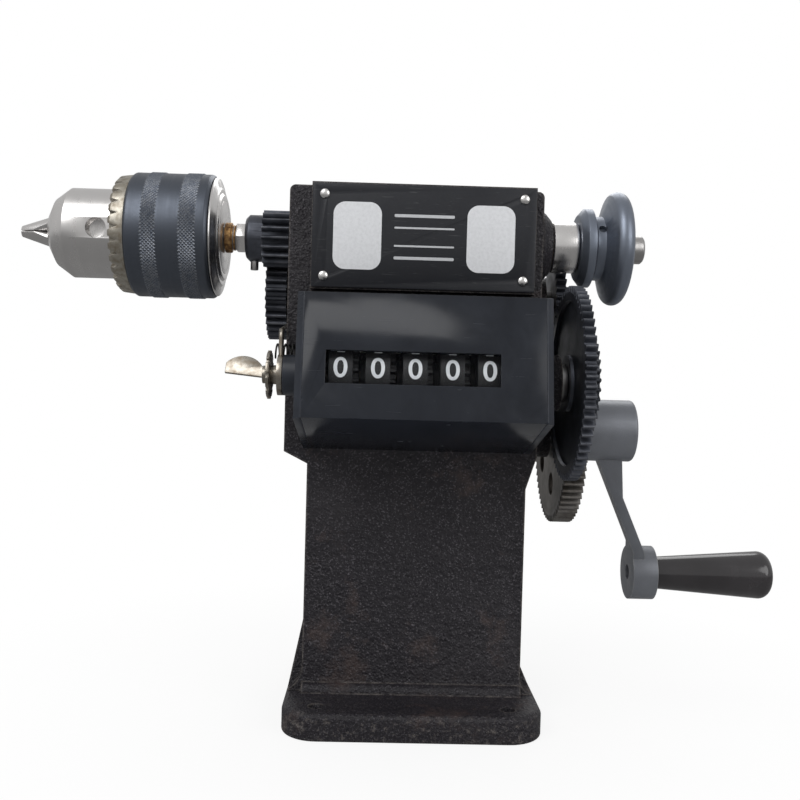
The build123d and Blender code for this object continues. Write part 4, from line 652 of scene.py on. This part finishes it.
def grow(tree, name, finish, body, values):
    """Runs a tree with its values set by name and makes the result a plain piece."""
    draft = add_object(f"{name}_draft", bpy.data.meshes.new(f"{name}_blank"))
    modifier = draft.modifiers.new("Build", "NODES")
    modifier.node_group = tree
    sockets = {s.name: s.identifier for s in tree.interface.items_tree if s.in_out == "INPUT"}
    for label, value in values.items():
        modifier[sockets[label]] = value
    modifier[sockets["Finish"]] = FINISHES[finish]
    made = evaluated_mesh(draft)
    bpy.data.objects.remove(draft)
    if not made.polygons:
        raise RuntimeError(f"{name} came out empty")
    made.name = name
    return add_piece(made, name, body)


def knurl_tree():
    """Rows of small four-sided points round an axis along X, every second row set half a pitch on."""
    sizes = {
        "Start": 0.0, "Centre Y": 0.0, "Centre Z": 0.0, "Radius": 0.02,
        "Pitch": 0.001, "Around": 100, "Rows": 6, "Height": 0.0003,
    }
    tree, given, result = geometry_tree("Knurled band", sizes)
    total = product(tree, given["Around"], given["Rows"])
    points = put(tree, "GeometryNodePoints", {"Count": total})
    index = put(tree, "GeometryNodeInputIndex").outputs[0]
    row = maths(tree, "FLOOR", maths(tree, "DIVIDE", index, given["Around"]))
    column = maths(tree, "MODULO", index, given["Around"])
    step = maths(tree, "MULTIPLY_ADD", maths(tree, "MODULO", row, 2.0), 0.5, column)
    angle = maths(tree, "DIVIDE", product(tree, step, 2 * math.pi), given["Around"])
    x = maths(tree, "MULTIPLY_ADD", product(tree, row, given["Pitch"]), 0.5, given["Start"])
    y = maths(tree, "MULTIPLY_ADD", maths(tree, "COSINE", angle), given["Radius"], given["Centre Y"])
    z = maths(tree, "MULTIPLY_ADD", maths(tree, "SINE", angle), given["Radius"], given["Centre Z"])
    spot = put(tree, "ShaderNodeCombineXYZ", {"X": x, "Y": y, "Z": z}).outputs[0]
    placed = put(tree, "GeometryNodeSetPosition", {"Geometry": points.outputs[0], "Position": spot})
    wide = product(tree, given["Pitch"], 0.56)
    inputs = {"Vertices": 4, "Radius Top": 0.0, "Radius Bottom": wide, "Depth": given["Height"]}
    point = put(tree, "GeometryNodeMeshCone", inputs)
    outward = maths(tree, "SUBTRACT", angle, math.pi / 2)
    turn = put(tree, "ShaderNodeCombineXYZ", {"X": outward}).outputs[0]
    inputs = {"Points": placed.outputs[0], "Instance": point.outputs["Mesh"], "Rotation": turn}
    spread = put(tree, "GeometryNodeInstanceOnPoints", inputs)
    close_tree(tree, given, result, spread.outputs[0])
    return tree


def rivet_tree():
    """Domed rivet heads at the four corners of an upright rectangle that faces -Y."""
    sizes = {
        "Centre": (0.0, 0.0, 0.0), "Width": 0.06, "Height": 0.03, "Head Radius": 0.002, "Head Height": 0.001,
    }
    tree, given, result = geometry_tree("Corner rivets", sizes)
    inputs = {"Size X": given["Width"], "Size Y": given["Height"], "Vertices X": 2, "Vertices Y": 2}
    corners = put(tree, "GeometryNodeMeshGrid", inputs)
    inputs = {"Geometry": corners.outputs[0], "Translation": given["Centre"], "Rotation": (math.pi / 2, 0, 0)}
    upright = put(tree, "GeometryNodeTransform", inputs)
    ball = put(tree, "GeometryNodeMeshUVSphere", {"Segments": 24, "Rings": 12})
    inputs = {"X": given["Head Radius"], "Y": given["Head Height"], "Z": given["Head Radius"]}
    squashed = put(tree, "ShaderNodeCombineXYZ", inputs)
    inputs = {"Geometry": ball.outputs[0], "Scale": squashed.outputs[0]}
    head = put(tree, "GeometryNodeTransform", inputs)
    inputs = {"Points": upright.outputs[0], "Instance": head.outputs[0]}
    spread = put(tree, "GeometryNodeInstanceOnPoints", inputs)
    smooth = put(tree, "GeometryNodeSetShadeSmooth", {"Geometry": spread.outputs[0]})
    close_tree(tree, given, result, smooth.outputs[0])
    return tree


def coil_tree():
    """Wire wound round an axis along X."""
    sizes = {"Start": (0.0, 0.0, 0.0), "Radius": 0.003, "Length": 0.01, "Turns": 6.0, "Wire Radius": 0.0003}
    tree, given, result = geometry_tree("Wound wire", sizes)
    inputs = {
        "Resolution": 24, "Rotations": given["Turns"], "Start Radius": given["Radius"],
        "End Radius": given["Radius"], "Height": given["Length"],
    }
    helix = put(tree, "GeometryNodeCurveSpiral", inputs)
    inputs = {"Resolution": 10, "Radius": given["Wire Radius"]}
    section = put(tree, "GeometryNodeCurvePrimitiveCircle", inputs)
    inputs = {"Curve": helix.outputs[0], "Profile Curve": section.outputs[0], "Fill Caps": True}
    wire = put(tree, "GeometryNodeCurveToMesh", inputs)
    inputs = {"Geometry": wire.outputs[0], "Rotation": (0, math.pi / 2, 0), "Translation": given["Start"]}
    laid = put(tree, "GeometryNodeTransform", inputs)
    smooth = put(tree, "GeometryNodeSetShadeSmooth", {"Geometry": laid.outputs[0]})
    close_tree(tree, given, result, smooth.outputs[0])
    return tree


# Operators
def stage_tree(holder):
    """Empty tree of a world or stage material, its rays, and which of them meet the background."""
    holder.use_nodes = True
    tree = holder.node_tree
    tree.nodes.clear()
    ray = put(tree, "ShaderNodeLightPath").outputs
    return tree, ray, maths(tree, "MAXIMUM", ray["Is Camera Ray"], ray["Is Transmission Ray"])


class WINDER_OT_stage(bpy.types.Operator):
    """Floor, lamps, surroundings and the camera"""

    bl_idname = "winder.stage"
    bl_label = "Stage and camera"

    lamps = (  # name, place and size in metres, share of the lamp power
        ("Soft key", (-0.55, -0.75, 0.95), 0.9, 1.0),
        ("Soft fill", (0.75, -0.7, 0.55), 0.8, 0.45),
        ("Back edge", (0.15, 0.75, 0.8), 0.7, 0.4),
    )
    lamp_aim = Vector((0.0, 0.0, 0.1))
    room_light, mirrored_light = 0.52, 0.56
    floor_span = 6.0
    yaw, pitch, roll = 0.0221, 0.0257, 0.0274  # how the camera is turned, in radians
    eye = Vector((-13.54, -350.70, 117.80)) * MM
    lens = 42.75

    def execute(self, context):
        self.surroundings(context)
        self.floor()
        for name, spot, size, share in self.lamps:
            self.lamp(name, spot, size, share * look().lamp_power)
        self.camera(context)
        context.scene.view_settings.view_transform = "Standard"
        return {"FINISHED"}

    def surroundings(self, context):
        world = bpy.data.worlds.new("Pale room")
        tree, ray, seen = stage_tree(world)
        room, mirror, white = (
            put(tree, "ShaderNodeBackground", {"Color": (1.0, 1.0, 1.0), "Strength": strength}).outputs[0]
            for strength in (self.room_light, self.mirrored_light, 1.0)
        )
        lit = put(tree, "ShaderNodeMixShader", {0: ray["Is Glossy Ray"], 1: room, 2: mirror}).outputs[0]
        mix = put(tree, "ShaderNodeMixShader", {0: seen, 1: lit, 2: white})
        put(tree, "ShaderNodeOutputWorld", {"Surface": mix.outputs[0]})
        context.scene.world = world

    def floor(self):
        span = self.floor_span
        mesh = bpy.data.meshes.new("Floor")
        corners = [(-span, -span, 0), (span, -span, 0), (span, span, 0), (-span, span, 0)]
        mesh.from_pydata(corners, [], [(0, 1, 2, 3)])
        floor = add_object("Floor", mesh)
        made = bpy.data.materials.new("Pale floor")
        tree, ray, seen = stage_tree(made)
        paper = put(tree, "ShaderNodeBsdfDiffuse", {"Color": (0.9, 0.9, 0.9)})
        glow = put(tree, "ShaderNodeEmission")
        far = put(tree, "ShaderNodeVectorMath", {0: place(tree)}, operation="LENGTH").outputs["Value"]
        share = remap(tree, far, 0.05, 0.2, 0.86, 1.0)
        mirrored = ray["Is Glossy Ray"]
        feed(tree, glow.inputs["Strength"], maths(tree, "MULTIPLY_ADD", mirrored, -0.75, 1.0))
        share = maths(tree, "MAXIMUM", product(tree, share, seen), mirrored)
        mix = put(tree, "ShaderNodeMixShader", {0: share, 1: paper.outputs[0], 2: glow.outputs[0]})
        put(tree, "ShaderNodeOutputMaterial", {"Surface": mix.outputs[0]})
        mesh.materials.append(made)

    def lamp(self, name, spot, size, power):
        data = bpy.data.lights.new(name, "AREA")
        data.shape = "DISK"
        data.size = size
        data.energy = power
        lamp = add_object(name, data)
        lamp.location = spot
        lamp.rotation_euler = (self.lamp_aim - Vector(spot)).to_track_quat("-Z", "Y").to_euler()

    def camera(self, context):
        ahead = math.cos(self.pitch)
        forward = Vector((math.sin(self.yaw) * ahead, math.cos(self.yaw) * ahead, -math.sin(self.pitch)))
        level = forward.cross(Vector((0, 0, 1))).normalized()
        above = level.cross(forward)
        right = math.cos(self.roll) * level + math.sin(self.roll) * above
        up = -math.sin(self.roll) * level + math.cos(self.roll) * above
        data = bpy.data.cameras.new("Photograph's view")
        data.lens = self.lens
        camera = add_object("Photograph's view", data)
        columns = (right, up, -forward, self.eye)
        rows = [[column[row] for column in columns] for row in range(3)]
        camera.matrix_world = Matrix(rows + [[0, 0, 0, 1]])
        context.scene.camera = camera


class WINDER_OT_casting(bpy.types.Operator):
    """Rough black stand casting and its bushes"""

    bl_idname = "winder.casting"
    bl_label = "Stand casting"

    def execute(self, context):
        eased("base_casting", "casting", 0.9, segments=3)
        for shaft in ("spindle", "layshaft"):
            paint_node(f"{shaft}_bush_left", "bronze")
            paint_node(f"{shaft}_bush_right", "bronze")
        paint_node("crank_bush", "bronze")
        eased("intermediate_stud", "stud_steel", 0.3)
        eased("counter_screws", "screw_dark", 0.25)
        return {"FINISHED"}


class WINDER_OT_name_plate(bpy.types.Operator):
    """Printed plate on the head, with a plain pattern, and its rivets"""

    bl_idname = "winder.name_plate"
    bl_label = "Name plate"

    ink = 0.06 * MM  # rise of the print
    panel_width = 16 * MM
    panel_corner = 4 * MM
    side_margin, end_margin = 6 * MM, 7 * MM
    rule_length = 20 * MM
    rules = ((7 * MM, 1 * MM), (3 * MM, 0.6 * MM), (-3 * MM, 0.6 * MM), (-7 * MM, 1 * MM))  # shift, width
    rivet_radius, rivet_height = 1.7 * MM, 0.8 * MM

    def execute(self, context):
        eased("name_plate", "plate_dark", 0.25)
        low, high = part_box("name_plate")
        outer = (high.x - low.x) / 2 - self.end_margin
        inner = outer - self.panel_width
        half_height = (high.z - low.z) / 2 - self.side_margin
        panels = [
            self.outline(left, right, half_height, self.panel_corner)
            for left, right in ((-outer, -inner), (inner, outer))
        ]
        self.print_on("plate_panels", panels, "plate_pale", low, high)
        reach = self.rule_length / 2
        lines = [self.outline(-reach, reach, 0.5 * rule, 0.4 * rule, shift) for shift, rule in self.rules]
        self.print_on("plate_rules", lines, "plate_line", low, high)
        low_rivet, high_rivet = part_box("plate_rivets")
        head = self.rivet_radius
        rivets = grow(
            rivet_tree(), "rivet_heads", "collar_steel", "stand",
            {
                "Centre": ((low_rivet.x + high_rivet.x) / 2, low.y, (low_rivet.z + high_rivet.z) / 2),
                "Width": high_rivet.x - low_rivet.x - 2 * head,
                "Height": high_rivet.z - low_rivet.z - 2 * head,
                "Head Radius": head,
                "Head Height": self.rivet_height,
            },
        )
        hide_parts("plate_rivets")
        return {"FINISHED"}

    def outline(self, left, right, half_height, corner, shift=0.0):
        """Rectangle with rounded corners, about the plate's middle."""
        corner = min(corner, half_height, (right - left) / 2)
        points = []
        for quarter, (x, z) in enumerate(
            ((right - corner, half_height - corner), (left + corner, half_height - corner),
             (left + corner, corner - half_height), (right - corner, corner - half_height))
        ):
            for step in range(9):
                angle = math.pi / 2 * (quarter + step / 8)
                points.append((x + corner * math.cos(angle), z + corner * math.sin(angle) + shift))
        return points

    def print_on(self, name, outlines, finish, low, high):
        """Thin raised ink of the given outlines on the front of the plate's box."""
        centre = (low + high) / 2
        work = bmesh.new()
        for outline in outlines:
            rims = []
            for y in (low.y - self.ink, low.y + self.ink):
                rims.append([work.verts.new((centre.x + x, y, centre.z + z)) for x, z in outline])
            front, back = rims
            work.faces.new(front)
            work.faces.new(list(reversed(back)))
            for i in range(len(outline)):
                work.faces.new((front[i], front[i - 1], back[i - 1], back[i]))
        bmesh.ops.recalc_face_normals(work, faces=work.faces)
        mesh = finished_mesh(work, name)
        mesh.materials.append(FINISHES[finish])
        add_piece(mesh, name, "stand")


class WINDER_OT_spindle(bpy.types.Operator):
    """Spindle, its nuts and collar, and the belt pulley"""

    bl_idname = "winder.spindle"
    bl_label = "Spindle and pulley"

    def execute(self, context):
        eased("spindle", "spindle_steel", 0.2)
        eased("spindle_washer", "rusty", 0.25)
        eased("spindle_nut", "collar_steel", 0.4)
        eased("thrust_collar", "collar_steel", 0.2)
        eased("belt_pulley", "pulley_blue", 0.3)
        eased("spindle_gear_screw", "spindle_steel", 0.25)
        for node in ("thrust_collar_screw", "pulley_screw"):
            eased(node, "screw_dark", 0.25)
        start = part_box("spindle_washer")[1].x
        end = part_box("spindle_nut")[0].x
        wire = 0.3 * MM
        grow(
            coil_tree(), "spindle_thread", "rusty", "spindle",
            {
                "Start": (start - wire / 2, SPINDLE.y, SPINDLE.z), "Radius": THREAD_RADIUS + wire / 2,
                "Length": end - start + wire, "Turns": (end - start) / THREAD_PITCH, "Wire Radius": wire,
            },
        )
        return {"FINISHED"}


class WINDER_OT_chuck(bpy.types.Operator):
    """Key chuck: jaws, body, toothed ring, knurled sleeve and polished back"""

    bl_idname = "winder.chuck"
    bl_label = "Key chuck"

    point_height = 0.34 * MM
    point_sink = 0.02 * MM  # a point's middle lies this far inside the sleeve's radius

    def execute(self, context):
        for number in (1, 2, 3):
            eased(f"chuck_jaw_{number}", "chuck_steel", 0.15)
        eased("chuck_body", "chuck_steel", 0.3)
        eased("chuck_ring", "ring", 0.2)
        eased("chuck_flange", "flange_steel", 0.4)
        eased("chuck_sleeve", "sleeve_blue", 0.4, segments=3)
        low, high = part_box("chuck_sleeve")
        radius = (high.z - low.z) / 2
        pitch = look().knurl_pitch
        around = round(2 * math.pi * radius / pitch)
        tree = knurl_tree()
        for label, band_from, band_to in KNURL_BANDS:
            grow(
                tree, f"knurl_{label}", "knurl", "sleeve",
                {
                    "Start": low.x + band_from, "Centre Y": SPINDLE.y, "Centre Z": SPINDLE.z,
                    "Radius": radius - self.point_sink, "Pitch": pitch, "Around": around,
                    "Rows": round(2 * (band_to - band_from) / pitch), "Height": self.point_height,
                },
            )
        return {"FINISHED"}


class WINDER_OT_gears(bpy.types.Operator):
    """Open gear train and its shafts"""

    bl_idname = "winder.gears"
    bl_label = "Gear train"

    def execute(self, context):
        for node in ("spindle_gear", "layshaft_gear", "layshaft_pinion"):
            eased(node, node, 0.12, segments=1)
        for node in ("intermediate_gear", "intermediate_pinion"):
            eased(node, node, 0.12, segments=1)
        eased("crank_gear", "crank_gear", 0.14, segments=1)
        eased("feeler_cam", "layshaft_gear", 0.2)
        eased("layshaft", "layshaft_steel", 0.25)
        return {"FINISHED"}


class WINDER_OT_crank(bpy.types.Operator):
    """Crank shaft, arm and turning grip"""

    bl_idname = "winder.crank"
    bl_label = "Crank"

    def execute(self, context):
        eased("crank_shaft", "crank_steel", 0.2)
        eased("crank_shaft_collar", "crank_steel", 0.4)
        eased("crank_arm", "arm", 1.0, segments=3)
        eased("handle_bolt", "bolt_steel", 0.25)
        eased("handle_grip", "grip", 0.5, segments=3)
        eased("grip_cap", "grip", 0.0)
        return {"FINISHED"}


class WINDER_OT_counter(bpy.types.Operator):
    """Turns counter: shell, window, reset wing, feeler lever and its spring"""

    bl_idname = "winder.counter"
    bl_label = "Turns counter"

    spring_start = Vector((-46.9, 5.2, 7.6)) * MM  # along X, and from the wheels' axis
    spring_radius, spring_length, spring_wire = 2.2 * MM, 7.6 * MM, 0.32 * MM

    def execute(self, context):
        eased("counter_case", "shell", 0.5, segments=3)
        eased("counter_cover_left", "cover", 0.45, segments=3)
        eased("counter_cover_right", "cover", 0.45, segments=3)
        paint_node("counter_window", "pane")
        for node in ("reset_shaft", "reset_ratchet", "reset_wing", "feeler_lever"):
            eased(node, "nickel", 0.15)
        paint_node("transfer_rod", "collar_steel")
        for number in range(1, 5):
            paint_node(f"transfer_pinion_{number}", "pinion")
        grow(
            coil_tree(), "feeler_spring", "spring", "stand",
            {
                "Start": tuple(self.spring_start + Vector((0, WHEELS.y, WHEELS.z))),
                "Radius": self.spring_radius, "Length": self.spring_length,
                "Turns": 6.0, "Wire Radius": self.spring_wire,
            },
        )
        return {"FINISHED"}


class WINDER_OT_numerals(bpy.types.Operator):
    """Number wheels with their printed numerals"""

    bl_idname = "winder.numerals"
    bl_label = "Number wheels"

    print_height = 0.07 * MM
    print_rise = 0.45 * MM  # the numerals stand this much above the window's middle
    stroke_growth = 0.012
    one_width = 0.55  # a 1 is narrower than the other numerals
    strips = 14  # flat strips that a numeral is bent in

    def execute(self, context):
        for node in WHEEL_NODES:
            eased(node, "wheel", 0.2)
            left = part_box(node)[0].x + (WHEEL_HUB if node != WHEEL_NODES[-1] else 0.0)
            centre_x = left + WHEEL_FACE_WIDTH / 2
            meshes = [self.numeral(digit, centre_x) for digit in range(10)]
            mesh = join_meshes(meshes, f"{node}_numerals")
            mesh.materials.append(FINISHES["numeral"])
            add_piece(mesh, f"{node}_numerals", BODY_OF[node])
        return {"FINISHED"}

    def numeral(self, digit, centre_x):
        """One numeral bent round its wheel. Zero stands in the window at rest."""
        data = bpy.data.curves.new(f"numeral_{digit}", "FONT")
        data.body = str(digit)
        data.extrude = 0.5
        data.offset = self.stroke_growth
        data.resolution_u = 8
        draft = add_object(f"numeral_{digit}", data)
        mesh = evaluated_mesh(draft)
        bpy.data.objects.remove(draft)
        work = bmesh.new()
        work.from_mesh(mesh)
        bmesh.ops.remove_doubles(work, verts=work.verts, dist=1e-5)
        xs = [v.co.x for v in work.verts]
        ys = [v.co.y for v in work.verts]
        width = look().numeral_width * (self.one_width if digit == 1 else 1.0)
        for v in work.verts:
            v.co.x = ((v.co.x - min(xs)) / (max(xs) - min(xs)) - 0.5) * width
            v.co.y = ((v.co.y - min(ys)) / (max(ys) - min(ys)) - 0.5) * look().numeral_height
        for strip in range(1, self.strips):
            level = (strip / self.strips - 0.5) * look().numeral_height
            geometry = work.verts[:] + work.edges[:] + work.faces[:]
            bmesh.ops.bisect_plane(work, geom=geometry, plane_co=(0, level, 0), plane_no=(0, 1, 0))
        bmesh.ops.triangulate(work, faces=work.faces)
        window = math.pi - FACE_LEAN
        for v in work.verts:
            angle = window - math.tau / 10 * digit - (v.co.y + self.print_rise) / WHEEL_RADIUS
            reach = WHEEL_RADIUS + (self.print_height if v.co.z > 0 else -self.print_height)
            v.co = Vector((
                centre_x + v.co.x, WHEELS.y + reach * math.cos(angle), WHEELS.z + reach * math.sin(angle),
            ))
        bmesh.ops.recalc_face_normals(work, faces=work.faces)
        return finished_mesh(work, f"numeral_{digit}")


class WINDER_PT_panel(bpy.types.Panel):
    """Lists the machine's pieces"""

    bl_idname = "WINDER_PT_panel"
    bl_label = "Coil Winder"
    bl_space_type = "VIEW_3D"
    bl_region_type = "UI"
    bl_category = "Coil Winder"

    def draw(self, context):
        for operator in OPERATORS:
            self.layout.operator(operator.bl_idname)
        for name in WinderLook.__annotations__:
            self.layout.prop(context.scene.winder_look, name)


OPERATORS = (
    WINDER_OT_stage,
    WINDER_OT_casting,
    WINDER_OT_name_plate,
    WINDER_OT_spindle,
    WINDER_OT_chuck,
    WINDER_OT_gears,
    WINDER_OT_crank,
    WINDER_OT_counter,
    WINDER_OT_numerals,
)
CLASSES = (WinderLook, *OPERATORS, WINDER_PT_panel)


def register():
    for kind in CLASSES:
        bpy.utils.register_class(kind)
    bpy.types.Scene.winder_look = bpy.props.PointerProperty(type=WinderLook)


def unregister():
    del bpy.types.Scene.winder_look
    for kind in reversed(CLASSES):
        bpy.utils.unregister_class(kind)


def main():
    register()
    build_finishes()
    bpy.ops.winder.stage()
    bpy.ops.winder.casting()
    bpy.ops.winder.name_plate()
    bpy.ops.winder.spindle()
    bpy.ops.winder.chuck()
    bpy.ops.winder.gears()
    bpy.ops.winder.crank()
    bpy.ops.winder.counter()
    bpy.ops.winder.numerals()


if __name__ == "__main__":
    main()
